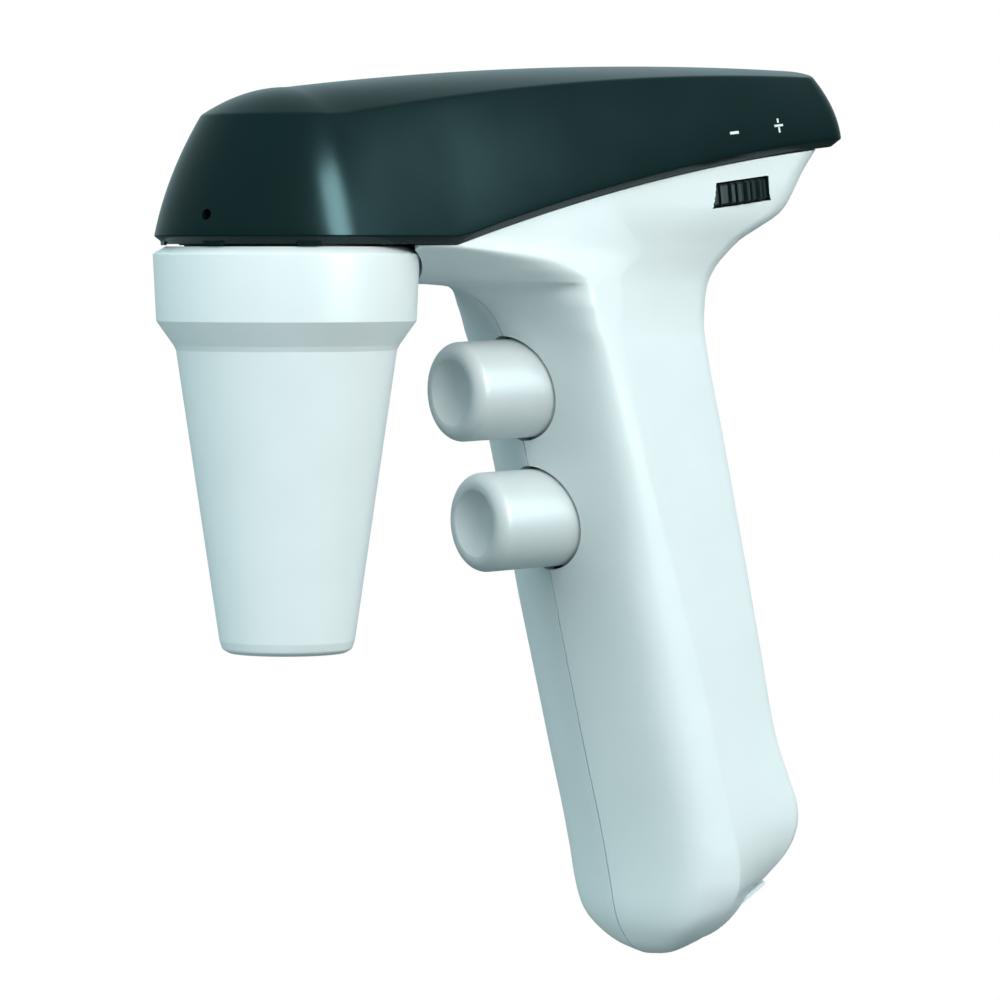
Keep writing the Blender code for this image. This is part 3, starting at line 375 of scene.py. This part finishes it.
# Half width of the flat front of each section: narrow on the grip, opening up under the head
FRONT_FLAT = curve([
    (-115.1, 0.6), (6.3, 0.6), (6.45, 1.2), (7.0, 4.5), (8.0, 8.5), (9.5, 12.5), (11.0, 16.0),
    (12.85, 19.5), (33.0, 19.5),
])
FRONT_HALF = curve([
    (-115.1, 5.0), (-114.4, 8.6), (-112.9, 11.9), (-109.5, 15.9), (-105, 18.7), (-100, 20.2),
    (-94, 20.6), (-10, 20.6), (0, 20.6), (6, 20.6), (13, 20.6), (33, 20.6),
])
CREASE_BACK = curve([
    (-115.1, 3.0), (-111.8, 8.5), (-104, 12.5), (-95, 13.9), (-68, 13.9), (-50, 12.6), (-30, 11.2),
    (-3, 10.5),
])
CREASE_HALF = curve([
    (-115.1, 5.2), (-114.4, 8.8), (-112.9, 12.2), (-109.5, 16.2), (-105, 19.1), (-100, 20.6),
    (-94, 21.0), (-30, 20.9), (-12, 20.5), (0, 19.9), (8, 19.3), (20, 18.9), (33, 18.5),
])
CREASE_X = curve([(-3.0, 55.4), (12.0, 53.0), (33.0, 50.0)])
CREASE_R = curve([
    (-115.1, 4.0), (-100.0, 2.5), (-30.0, 2.5), (-12.0, 5.0), (0.0, 20.0), (12.0, 150.0),
])
REAR_HALF = curve([
    (-115.1, 3.6), (-114.4, 5.6), (-112.9, 7.4), (-109.5, 9.0), (-103, 10.0), (-90, 10.2), (-70, 9.6),
    (0, 9.5), (6, 10.2), (12, 12.0), (18, 13.9), (24, 14.6), (33, 14.2),
])
# Pull of the front side's curve towards its corner
CORNER_PULL = curve([
    (-115.1, 1.6), (-108.0, 2.4), (-95.0, 2.4), (-3.0, 2.5), (2.0, 1.8), (5.0, 1.3), (9.0, 1.3),
    (12.0, 3.0), (14.5, 14.0), (33.0, 14.0),
])
REAR_R = curve([(-115.1, 1.5), (-111.8, 5.0), (-104, 7.0), (10, 7.0), (20, 9.0), (33, 7.0)])
# Height where a run of sections ends, and the spacing of the sections in it
SECTION_RUNS = [(33.0, 1.0), (14.6, 0.25), (5.6, 0.45), (-4.0, 2.4), (-82.0, 0.9), (-104.0, 0.45),
                (-113.2, 0.2), (-115.1, 0.0)]
HOLLOW_LEVELS = [60.0, 33.0, 24.0, 16.8, 14.6, 12.8, 10.9, 9.0, 8.1, 6.0, 3.4, 0.0, -4.0, -12.0, -30.0,
                 -60.0, -80.0, -87.0, -92.0, -97.0, -102.0, -106.0, -109.6]


def section_levels():
    levels = []
    for (top, step), (bottom, _) in zip(SECTION_RUNS, SECTION_RUNS[1:]):
        count = max(1, round((top - bottom) / step))
        levels += [top + (bottom - top) * i / count for i in range(count)]
    return levels + [SECTION_RUNS[-1][0]]


def swept(start, corner, end, pull, steps):
    """Curve from start to end that bends round a corner, closer to it for a stronger pull."""
    path = []
    for i in range(steps):
        t = i / steps
        shares = ((1 - t) ** 2, 2 * pull * t * (1 - t), t * t)
        path.append(tuple(sum(s * p[k] for s, p in zip(shares, (start, corner, end))) / sum(shares)
                          for k in (0, 1)))
    return path


def half_section(z, inset, steps):
    """Right half of the handle's outline at a height, front centre to rear centre."""
    def worn(line, sign):
        if inset == 0:
            return line(z)
        best = []
        for step in range(-4, 5):
            angle = math.pi / 2 * step / 4
            best.append(line(z + inset * math.sin(angle)) + sign * inset * math.cos(angle))
        return max(best) if sign > 0 else min(best)

    def corner_line(height):
        return FRONT(height) + FRONT_SWEEP(height)

    def rear_centre(height):
        corner = REAR_R(height)
        side = REAR_HALF(height)
        reach = (REAR_LINE(height) - corner - VIEW_SIN * (side - corner)) / VIEW_COS
        return reach + corner

    front = worn(FRONT, 1)
    rear = worn(rear_centre, -1)
    corner_x = worn(corner_line, 1)
    crease_x = CREASE_X(z) if z > -3.0 else FRONT(z) + CREASE_BACK(z)
    crease_x = min(max(crease_x, corner_x + 1.5), rear - 4.0)
    corner = (corner_x, worn(FRONT_HALF, -1))
    crease = (crease_x, worn(CREASE_HALF, -1))
    rear_corner = (rear - 0.9, worn(REAR_HALF, -1))
    rear_r = REAR_R(z) * (0.6 if inset else 1.0)
    bend = arc_corner(corner, crease, rear_corner, CREASE_R(z), steps[1])
    turn = arc_corner(crease, rear_corner, (rear, 0.0), rear_r, steps[2])
    side = swept((front, max(0.5, worn(FRONT_FLAT, -1))), corner, bend[0], CORNER_PULL(z), steps[0])
    return [(front, 0.0)] + side + bend + turn + [(rear, 0.0)]


def heel_share(x, z):
    """Share of its half width that the handle keeps near the heel's rounded end face."""
    inside = (z - HEEL_POINT[1]) * math.cos(HEEL_ANGLE) - (x - HEEL_POINT[0]) * math.sin(HEEL_ANGLE)
    depth = min(1.0, max(0.0, 1 - inside / HEEL_ROUND))
    return 1 - HEEL_NARROWING * (1 - math.sqrt(1 - depth * depth))


def shell_half(name, inset, start, levels, steps):
    rings = []
    for z in levels:
        path = half_section(z, inset, steps)
        ring = [(path[0][0], start, z)]
        ring += [(x, max(y * heel_share(x, z), start + 0.01), z) for x, y in path[1:-1]]
        ring.append((path[-1][0], start, z))
        rings.append(ring)
    return loft(name, rings)


def edge_height(x):
    """Height of the cover's lower edge at a distance along the head."""
    t = max(0.0, x - EDGE_BREAK_X)
    return EDGE_Z + EDGE_RISE * t - EDGE_BEND * t * t


def head_top_cutter():
    xs = [-40, EDGE_BREAK_X] + [EDGE_BREAK_X + 2 * i for i in range(1, 50)]
    outline = [(x, edge_height(x) - EDGE_GAP) for x in xs] + [(xs[-1], 60), (-40, 60)]
    return prism("top_cutter", outline, -60, 60)


def heel_place(along, out):
    """Point (x, z) on the heel's end face, along it rearward and out of it."""
    ca = math.cos(HEEL_ANGLE)
    sa = math.sin(HEEL_ANGLE)
    return HEEL_POINT[0] + along * ca + out * sa, HEEL_POINT[1] + along * sa - out * ca


def heel_prism(name, along, out, half_width):
    corners = [heel_place(a, o) for a, o in
               ((along[0], out[0]), (along[1], out[0]), (along[1], out[1]), (along[0], out[1]))]
    return prism(name, corners, -half_width, half_width)


def button_point(which, back, up=0.0):
    """Point (x, z) behind a button's face, along its tilted axis."""
    face_x, face_z = BUTTONS[which]
    return (face_x + back * math.cos(BUTTON_TILT) - up * math.sin(BUTTON_TILT),
            face_z + back * math.sin(BUTTON_TILT) + up * math.cos(BUTTON_TILT))


def on_button_axis(piece, which, back=0.0):
    x, z = button_point(which, back)
    return stand(piece, (x, 0, z), (math.cos(BUTTON_TILT), 0, math.sin(BUTTON_TILT)))


def wheel_frame(piece):
    """Tilt a piece modelled about +Z onto the speed wheel's axis."""
    return stand(piece, (WHEEL_X, 0, WHEEL_Z), (-math.sin(WHEEL_TILT), 0, math.cos(WHEEL_TILT)))


def handle_shells():
    """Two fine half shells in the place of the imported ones."""
    body = shell_half("handle_right", 0.0, SEAM, section_levels(), (26, 10, 12))
    hollow = shell_half("hollow", SHELL_WALL, -5.0, HOLLOW_LEVELS, (6, 2, 3))
    cut(hollow, heel_prism("heel_wall", (-40, 40), (-SHELL_WALL, 30), 60))
    cut(body, heel_prism("heel_cut", (-40, 40), (0, 30), 60), hollow, head_top_cutter())
    around = [(0, -20), (COLLAR_CLEAR_R, -20), (COLLAR_CLEAR_R, 60), (0, 60)]
    cut(body, turned("collar_cut", around, 192))
    for which in BUTTONS:
        hole = turned("hole", [(0, 0), (BUTTON_HOLE_R, 0), (BUTTON_HOLE_R, 22), (0, 22)], 128)
        low = BUTTON_FLANGE[which] - FLANGE_GAP
        seat = turned("seat", [(0, low), (SEAT_R, low), (SEAT_R, low + 7), (0, low + 7)], 64)
        cut(body, on_button_axis(hole, which), on_button_axis(seat, which))
    reach, half = WHEEL_ROOM
    chamber = turned("chamber", [(0, -half), (reach, -half), (reach, half), (0, half)], 96)
    cut(body, wheel_frame(chamber))
    window = [tilted(WHEEL_X, WHEEL_Z, WHEEL_TILT, a, u) for a, u in
              ((SLOT[0] - WHEEL_X, -SLOT_HALF), (SLOT[1] - WHEEL_X, -SLOT_HALF),
               (SLOT[1] - WHEEL_X, SLOT_HALF), (SLOT[0] - WHEEL_X, SLOT_HALF))]
    cut(body, prism("window", window, 12, 30))
    cut(body, heel_prism("inlet_cut", (-INLET_HALF, INLET_HALF), (-8, 1), INLET_HALF))
    left = body.copy()
    left.data = body.data.copy()
    bpy.context.scene.collection.objects.link(left)
    left.name = left.data.name = "handle_left"
    left.data.transform(Matrix.Scale(-1, 4, (0, 1, 0)))
    left.data.flip_normals()
    for x, z in SHELL_SCREWS:
        cut(body, rod("head_hole", (x, SCREW_SEAT, z), (x, 40, z), SCREW_HEAD_R))
    for piece, node in ((body, "handle_shell_right"), (left, "handle_shell_left")):
        smooth(piece, 32)
        dress(piece, HANDLE_PLASTIC)
        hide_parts(node)
        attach(piece, "handle")


# ---------------------------------------------------------------- top cover

def plan_outline(front_r, taper, rear_x, rear_r):
    """Half plan of the cover, front centre to rear centre."""
    front, side, corner, across = COVER_STEPS
    path = []
    for i in range(front + 1):
        a = math.pi / 2 * i / front
        path.append((-front_r * math.cos(a), front_r * math.sin(a)))
    turn_x = rear_x - rear_r
    for i in range(1, side + 1):
        x = turn_x * i / side
        path.append((x, front_r - taper(x)))
    top = path[-1][1] - rear_r
    for i in range(1, corner + 1):
        a = math.pi / 2 * (1 - i / corner)
        path.append((turn_x + rear_r * math.cos(a), top + rear_r * math.sin(a)))
    for i in range(1, across + 1):
        path.append((rear_x, top * (1 - i / across)))
    return path


def ridge_taper(x):
    return -0.6 * math.sin(math.pi * min(x, 70) / 70) + 0.0022 * max(0.0, x - 70) ** 2


def ridge_height(x):
    t = max(0.0, x - 2.0)
    return RIDGE_Z + RIDGE_RISE * t - RIDGE_BEND * t * t


def crown_height(x, y):
    """Height of the crowned top, meeting the crease at the crease's own height."""
    if x < 0:
        spread = min(1.0, (x * x + y * y) / RIDGE_FRONT_R ** 2)
    else:
        spread = min(1.0, (y / (RIDGE_FRONT_R - ridge_taper(x))) ** 2)
    back = max(x, 0)
    rise = CROWN_Z + CROWN_RISE * back - CROWN_BEND * back ** 2 - ridge_height(x)
    return ridge_height(x) + rise * (1 - spread)


def cover_columns(inset, side_steps=12, crown_steps=16):
    """Columns of points from the cover's lower edge up to its spine, round the half plan."""
    edge = plan_outline(COVER_FRONT_R, lambda x: COVER_TAPER * x * x, COVER_REAR_X, COVER_REAR_R)
    ridge = plan_outline(RIDGE_FRONT_R, ridge_taper, RIDGE_REAR_X, RIDGE_REAR_R)
    side_end = COVER_STEPS[0] + COVER_STEPS[1]
    columns = []
    for i, (e, r) in enumerate(zip(edge, ridge)):
        run = np.array(edge[min(i + 1, len(edge) - 1)]) - np.array(edge[max(i - 1, 0)])
        out = np.array((-run[1], run[0])) / np.linalg.norm(run)
        if i == 0:
            out = np.array((-1.0, 0.0))
        if i == len(edge) - 1:
            out = np.array((1.0, 0.0))
        base = edge_height(e[0])
        low = np.array(e) - out * (LIP_INSET + inset)
        shelf = np.array(e) - out * inset
        top_z = crown_height(r[0], r[1]) - 0.75 * inset
        lean = np.array(r) - out * inset * 0.8
        wall = []
        for s in range(side_steps + 1):
            t = s / side_steps
            p = shelf * (1 - t) + lean * t + out * 4 * WALL_BULGE * t * (1 - t)
            wall.append((p[0], p[1], (base + LIP_HEIGHT) * (1 - t) + top_z * t))
        past_side = max(0, i - side_end) * 6.0 / (len(edge) - side_end)
        if r[0] < 0:
            spine_x = 0.45 * r[0]
        else:
            spine_x = 0.94 * min(r[0], RIDGE_REAR_X - RIDGE_REAR_R) + past_side
        crown = []
        for s in range(1, crown_steps + 1):
            t = s / crown_steps
            x = lean[0] + (spine_x - lean[0]) * t
            y = lean[1] * (1 - t)
            crown.append((x, y, crown_height(x, y) - inset * (0.75 + 0.25 * min(1.0, 2 * t))))
        foot = (low[0], low[1], base)
        column = [foot] + arc_corner(foot, wall[0], wall[1], 0.35, 3) + wall[1:-1]
        column += arc_corner(wall[-2], wall[-1], crown[0], RIDGE_FILLET, 5) + crown
        columns.append(column)
    return columns


def cover_surface(columns):
    """Points and faces of the whole open surface, right half first, then its mirror."""
    points = []
    faces = []
    for mirror in (1, -1):
        offset = len(points)
        rows = len(columns[0])
        for column in columns:
            points += [(x, mirror * y, z) for x, y, z in column]
        for i in range(len(columns) - 1):
            for j in range(rows - 1):
                a = offset + i * rows + j
                faces.append((a, a + 1, a + rows + 1, a + rows))
    return points, faces


def top_cover():
    columns = cover_columns(0.0)
    outer, faces = cover_surface(columns)
    inner, more = cover_surface(cover_columns(COVER_WALL))
    faces = faces + [tuple(k + len(outer) for k in face) for face in more]
    rows = len(columns[0])
    for half in (0, 1):
        start = half * rows * len(columns)
        for i in range(len(columns) - 1):
            a = start + i * rows
            b = a + rows
            faces.append((a, b, b + len(outer), a + len(outer)))
    cover = solid("cover_skin", outer + inner, faces)
    vent = math.radians(VENT_ANGLE)
    a = (10 * math.cos(vent), 10 * math.sin(vent), VENT_Z - 3.0)
    b = (30 * math.cos(vent), 30 * math.sin(vent), VENT_Z + 3.0)
    cut(cover, rod("vent", a, b, VENT_R, 40))
    smooth(cover, 30)
    dress(cover, COVER_PLASTIC)
    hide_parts("top_cover")
    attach(cover, "handle")
    return cover


def cover_tabs():
    """Small lugs that hang from the cover over the collar's bevel."""
    outline = [(-1.7, 12.9), (-1.6, 12.85), (1.6, 12.85), (1.7, 12.9), (2.2, 13.6), (-2.2, 13.6)]
    for i in range(TAB_COUNT):
        tab = prism("cover_tab_%d" % (i + 1), outline, 20.85, 21.35, "X")
        tab.data.transform(Matrix.Rotation(2 * math.pi * (i + 0.5) / TAB_COUNT, 4, "Z"))
        smooth(tab)
        dress(tab, COVER_PLASTIC)
        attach(tab, "handle")


def cover_marks(cover):
    """Printed minus and plus beside the speed wheel, laid on the cover's left wall."""
    bpy.context.view_layer.update()
    for name, cx, cz, half_x, half_z in MARK_BARS:
        points = []
        for lift in (0.035, -0.05):
            for u in np.linspace(-1, 1, 7):
                for v in (-1, 1):
                    x, z = tilted(cx, cz, MARK_TILT, u * half_x, v * half_z)
                    _, place, normal, _ = cover.ray_cast(Vector((x, -40, z)) * MM, Vector((0, 1, 0)))
                    points.append(tuple(place / MM + normal * lift))
        faces = []
        for i in range(6):
            a = 2 * i
            faces.append((a, a + 2, a + 3, a + 1))
            faces.append((a + 14, a + 15, a + 17, a + 16))
            faces.append((a, a + 14, a + 16, a + 2))
            faces.append((a + 1, a + 3, a + 17, a + 15))
        faces += [(0, 1, 15, 14), (12, 26, 27, 13)]
        mark = solid(name, points, faces)
        dress(mark, MARK_PAINT)
        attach(mark, "handle")


# ---------------------------------------------------------------- nose, buttons, wheel

def adapter_housing():
    nose = turned("nose_skin", filleted(NOSE_PROFILE), 200)
    smooth(nose, 40)
    dress(nose, NOSE_PLASTIC)
    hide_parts("adapter_housing")
    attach(nose, "nose")


def dish_profile():
    """Half profile of a finger button from its face's centre over the rim to its side."""
    dish = []
    for i in range(15):
        share = i / 14
        depth = DISH_DEPTH * (1 - share ** 4)
        dish.append((DISH_R * share, depth + 0.12))
    rim = []
    for i in range(13):
        a = math.pi / 2 * i / 12
        rim.append((BUTTON_R - RIM_R + RIM_R * math.sin(a), RIM_R * (1 - math.cos(a))))
    return dish + [(DISH_R + 0.22, 0.02)] + rim[2:]


def finger_button(which):
    flange = BUTTON_FLANGE[which]
    profile = dish_profile() + [
        (BUTTON_R, flange), (FLANGE_R, flange), (FLANGE_R, flange + 1.1), (7.2, flange + 1.1),
        (7.2, 4.6), (3.2, 4.6), (3.2, 17.0), (1.8, 17.0), (1.8, 6.5), (0, 6.5),
    ]
    piece = turned(which + "_button_skin", profile, 144)
    on_button_axis(piece, which)
    smooth(piece, 35)
    dress(piece, BUTTON_PLASTIC)
    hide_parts(which + "_button")
    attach(piece, which + "_key")


def tube(name, points, radius, sides=10):
    """Closed tube mesh swept along a line of points."""
    line = [Vector(p) for p in points]
    side = Vector((0, 1, 0))
    rings = []
    for i, p in enumerate(line):
        ahead = (line[min(i + 1, len(line) - 1)] - line[max(i - 1, 0)]).normalized()
        side = (side - ahead * side.dot(ahead)).normalized()
        other = ahead.cross(side)
        rings.append([tuple(p + (side * math.cos(a) + other * math.sin(a)) * radius)
                      for a in (2 * math.pi * k / sides for k in range(sides))])
    return loft(name, rings)


def spring_coil(which):
    """Round-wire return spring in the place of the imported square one."""
    start = BUTTON_FLANGE[which] + SPRING_SPAN[0]
    end = BUTTON_FLANGE[which] + SPRING_SPAN[1]
    steps = SPRING_TURNS * TURN_STEPS
    points = []
    for i in range(steps + 1):
        turn = 2 * math.pi * i / TURN_STEPS
        x, z = button_point(which, start + (end - start) * i / steps,
                            SPRING_R * math.sin(turn))
        points.append((x, SPRING_R * math.cos(turn), z))
    coil = smooth(tube(which + "_spring_coil", points, SPRING_WIRE))
    dress(coil, STEEL)
    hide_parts(which + "_spring")
    x, z = button_point(which, end)
    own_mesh(coil)
    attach(coil, "handle")


def speed_wheel():
    """Ribbed disc: broad ribs in pairs with a narrow and a wide groove between them."""
    outline = []
    pitch = 2 * math.pi / WHEEL_PAIRS
    for i in range(WHEEL_PAIRS):
        for share, drop in RIB_STEPS:
            a = pitch * (i + share)
            r = WHEEL_R - drop
            outline.append((r * math.cos(a), r * math.sin(a)))
    half = WHEEL_THICK / 2
    rings = []
    for up, shrink in ((-half, WHEEL_BEVEL), (-half + WHEEL_BEVEL, 0.0),
                       (half - WHEEL_BEVEL, 0.0), (half, WHEEL_BEVEL)):
        scale = (WHEEL_R - shrink) / WHEEL_R
        rings.append([(x * scale, y * scale, up) for x, y in outline])
    wheel = loft("wheel_skin", rings)
    join(wheel, rod("shaft", (0, 0, 0), (0, 0, 6.2), 1.5, 32))
    wheel_frame(wheel)
    smooth(wheel, 30)
    dress(wheel, WHEEL_PLASTIC)
    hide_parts("speed_wheel")
    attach(wheel, "wheel")


# ---------------------------------------------------------------- materials

def plastic(name, colour, roughness, grain=0.12, grain_mm=0.25, mottle=0.03, coat=0.0, metallic=0.0,
            level=0.5):
    """Moulded surface: a fine grain, slight cloudiness in colour and in gloss."""
    mat = bpy.data.materials.new(name)
    mat.use_nodes = True
    nodes = mat.node_tree.nodes
    links = mat.node_tree.links
    shader = nodes["Principled BSDF"]
    shader.inputs["Metallic"].default_value = metallic
    shader.inputs["Specular IOR Level"].default_value = level
    shader.inputs["Coat Weight"].default_value = coat
    shader.inputs["Coat Roughness"].default_value = COAT_ROUGHNESS
    place = nodes.new("ShaderNodeTexCoord")
    cloud = nodes.new("ShaderNodeTexNoise")
    cloud.inputs["Scale"].default_value = CLOUD_SCALE
    cloud.inputs["Detail"].default_value = 4.0
    links.new(place.outputs["Object"], cloud.inputs["Vector"])
    tint = nodes.new("ShaderNodeMix")
    tint.data_type = "RGBA"
    dark = [c * (1 - mottle) for c in colour]
    pale = [min(1.0, c * (1 + mottle)) for c in colour]
    tint.inputs["A"].default_value = (*dark, 1)
    tint.inputs["B"].default_value = (*pale, 1)
    links.new(cloud.outputs["Fac"], tint.inputs["Factor"])
    links.new(tint.outputs["Result"], shader.inputs["Base Color"])
    gloss = nodes.new("ShaderNodeMapRange")
    gloss.inputs["To Min"].default_value = roughness - GLOSS_SPREAD
    gloss.inputs["To Max"].default_value = roughness + GLOSS_SPREAD
    links.new(cloud.outputs["Fac"], gloss.inputs["Value"])
    links.new(gloss.outputs["Result"], shader.inputs["Roughness"])
    speck = nodes.new("ShaderNodeTexNoise")
    speck.inputs["Scale"].default_value = 1.0 / (grain_mm * MM)
    speck.inputs["Detail"].default_value = 3.0
    links.new(place.outputs["Object"], speck.inputs["Vector"])
    bump = nodes.new("ShaderNodeBump")
    bump.inputs["Strength"].default_value = grain
    bump.inputs["Distance"].default_value = GRAIN_DEPTH * MM
    links.new(speck.outputs["Fac"], bump.inputs["Height"])
    links.new(bump.outputs["Normal"], shader.inputs["Normal"])
    return mat


def dress(piece, mat):
    piece.data.materials.clear()
    piece.data.materials.append(mat)


HANDLE_PLASTIC = plastic("handle_plastic", (0.82, 0.865, 0.87), 0.42)
NOSE_PLASTIC = plastic("nose_plastic", (0.84, 0.88, 0.885), 0.40)
BUTTON_PLASTIC = plastic("button_plastic", (0.68, 0.72, 0.725), 0.42)
COVER_PLASTIC = plastic("cover_plastic", (0.0025, 0.011, 0.0112), 0.23, grain=0.15, grain_mm=0.3,
                        mottle=0.08, level=0.13)
COVER_PLASTIC.node_tree.nodes["Principled BSDF"].inputs["Specular Tint"].default_value = COVER_TINT
WHEEL_PLASTIC = plastic("wheel_plastic", (0.007, 0.015, 0.015), 0.5, mottle=0.1, level=0.2)
MARK_PAINT = plastic("mark_paint", (0.70, 0.74, 0.74), 0.5)
BLACK = plastic("black_plastic", (0.012, 0.016, 0.016), 0.5, mottle=0.1)
GREY = plastic("grey_plastic", (0.22, 0.24, 0.25), 0.5)
STEEL = plastic("steel", (0.62, 0.63, 0.65), 0.28, metallic=1.0)
BRASS = plastic("brass", (0.70, 0.52, 0.24), 0.3, metallic=1.0)
SILICONE = plastic("silicone", (0.62, 0.66, 0.62), 0.45, grain=0.05)
CLEAR = plastic("tube_plastic", (0.82, 0.86, 0.88), 0.2, grain=0.02)
BOARD = plastic("board_lacquer", (0.02, 0.16, 0.07), 0.4, mottle=0.1, coat=0.3)
FOAM = plastic("foam", (0.10, 0.10, 0.11), 0.9, grain=0.8, grain_mm=0.6, mottle=0.2)
RUBBER = plastic("rubber", (0.03, 0.03, 0.035), 0.7, grain=0.3, mottle=0.1)
SLEEVE = plastic("cell_sleeve", (0.06, 0.14, 0.34), 0.3, grain=0.03)
SLOT_FINISH = {
    "handle_white": HANDLE_PLASTIC, "nose_white": NOSE_PLASTIC, "cover_dark": COVER_PLASTIC,
    "black": BLACK, "grey": GREY, "steel": STEEL, "brass": BRASS, "silicone": SILICONE,
    "clear": CLEAR, "board_green": BOARD, "foam": FOAM, "rubber": RUBBER, "cell_blue": SLEEVE,
}


def dress_packed_nodes(frame):
    """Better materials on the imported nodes, by the record's own slots."""
    for part in frame["record"]["subparts"]:
        node = frame["nodes"][part["node"]]
        for place in node.material_slots:
            place.material = SLOT_FINISH[part["material_slot"]]


# ---------------------------------------------------------------- stage, light, camera

def aimed(name, data, place, target):
    thing = bpy.data.objects.new(name, data)
    bpy.context.scene.collection.objects.link(thing)
    thing.location = Vector(place)
    thing.rotation_euler = (Vector(target) - Vector(place)).to_track_quat("-Z", "Y").to_euler()
    return thing


def softbox(name, direction, distance, size, power, colour, seen_as):
    light = bpy.data.lights.new(name, "AREA")
    light.shape = "RECTANGLE"
    light.size, light.size_y = size
    light.energy = power
    light.color = colour
    centre = Vector(TARGET) * MM
    box = aimed(name, light, centre + Vector(direction).normalized() * distance, centre)
    box.visible_glossy = seen_as != "glow"
    box.visible_diffuse = seen_as != "shine"


def studio():
    scene = bpy.context.scene
    scene.view_settings.view_transform = "Standard"
    world = bpy.data.worlds.new("studio")
    scene.world = world
    world.use_nodes = True
    nodes = world.node_tree.nodes
    links = world.node_tree.links
    nodes.clear()
    out = nodes.new("ShaderNodeOutputWorld")
    seen = nodes.new("ShaderNodeBackground")
    seen.inputs["Color"].default_value = (1, 1, 1, 1)
    glow = nodes.new("ShaderNodeBackground")
    place = nodes.new("ShaderNodeTexCoord")
    split = nodes.new("ShaderNodeSeparateXYZ")
    ramp = nodes.new("ShaderNodeMapRange")
    ramp.inputs["From Min"].default_value = -SKY_BLEND
    ramp.inputs["From Max"].default_value = SKY_BLEND
    sky = nodes.new("ShaderNodeMix")
    sky.data_type = "RGBA"
    sky.inputs["A"].default_value = (*SKY_LOW, 1)
    sky.inputs["B"].default_value = (*SKY_HIGH, 1)
    links.new(place.outputs["Generated"], split.inputs["Vector"])
    links.new(split.outputs["Z"], ramp.inputs["Value"])
    links.new(ramp.outputs["Result"], sky.inputs["Factor"])
    links.new(sky.outputs["Result"], glow.inputs["Color"])
    path = nodes.new("ShaderNodeLightPath")
    mix = nodes.new("ShaderNodeMixShader")
    links.new(path.outputs["Is Camera Ray"], mix.inputs["Fac"])
    links.new(glow.outputs["Background"], mix.inputs[1])
    links.new(seen.outputs["Background"], mix.inputs[2])
    links.new(mix.outputs["Shader"], out.inputs["Surface"])
    for light in LIGHTS:
        softbox(*light)

    camera = bpy.data.cameras.new("camera")
    camera.lens = LENS
    camera.sensor_width = SENSOR
    camera.clip_end = FAR_LIMIT
    centre = Vector(TARGET) * MM
    eye = centre - Vector(VIEW_DIRECTION).normalized() * DISTANCE * MM
    scene.camera = aimed("camera", camera, eye, centre)


def floor():
    """Pale studio floor well under the held-up object."""
    mesh = bpy.data.meshes.new("floor")
    signs = ((-1, -1), (1, -1), (1, 1), (-1, 1))
    corners = [(x * FLOOR_REACH, y * FLOOR_REACH, FLOOR_Z) for x, y in signs]
    mesh.from_pydata(corners, [], [(0, 1, 2, 3)])
    plane = bpy.data.objects.new("floor", mesh)
    bpy.context.scene.collection.objects.link(plane)
    mat = bpy.data.materials.new("floor")
    mat.use_nodes = True
    nodes = mat.node_tree.nodes
    links = mat.node_tree.links
    shader = nodes["Principled BSDF"]
    shader.inputs["Base Color"].default_value = FLOOR_COLOUR
    shader.inputs["Roughness"].default_value = 0.9
    pale = nodes.new("ShaderNodeEmission")
    pale.inputs["Color"].default_value = (1, 1, 1, 1)
    path = nodes.new("ShaderNodeLightPath")
    mix = nodes.new("ShaderNodeMixShader")
    links.new(path.outputs["Is Camera Ray"], mix.inputs["Fac"])
    links.new(shader.outputs["BSDF"], mix.inputs[1])
    links.new(pale.outputs["Emission"], mix.inputs[2])
    links.new(mix.outputs["Shader"], nodes["Material Output"].inputs["Surface"])
    mesh.materials.append(mat)


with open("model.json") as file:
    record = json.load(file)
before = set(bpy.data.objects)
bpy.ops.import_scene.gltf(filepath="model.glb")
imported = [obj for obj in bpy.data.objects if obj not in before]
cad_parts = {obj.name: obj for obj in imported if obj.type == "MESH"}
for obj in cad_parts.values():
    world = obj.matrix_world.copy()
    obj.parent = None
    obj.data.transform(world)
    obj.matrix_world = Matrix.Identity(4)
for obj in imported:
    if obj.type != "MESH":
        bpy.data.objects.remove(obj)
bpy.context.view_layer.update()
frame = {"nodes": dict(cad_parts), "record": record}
dress_packed_nodes(frame)
handle_shells()
cover_marks(top_cover())
cover_tabs()
adapter_housing()
for key in BUTTONS:
    finger_button(key)
    spring_coil(key)
speed_wheel()
floor()
studio()
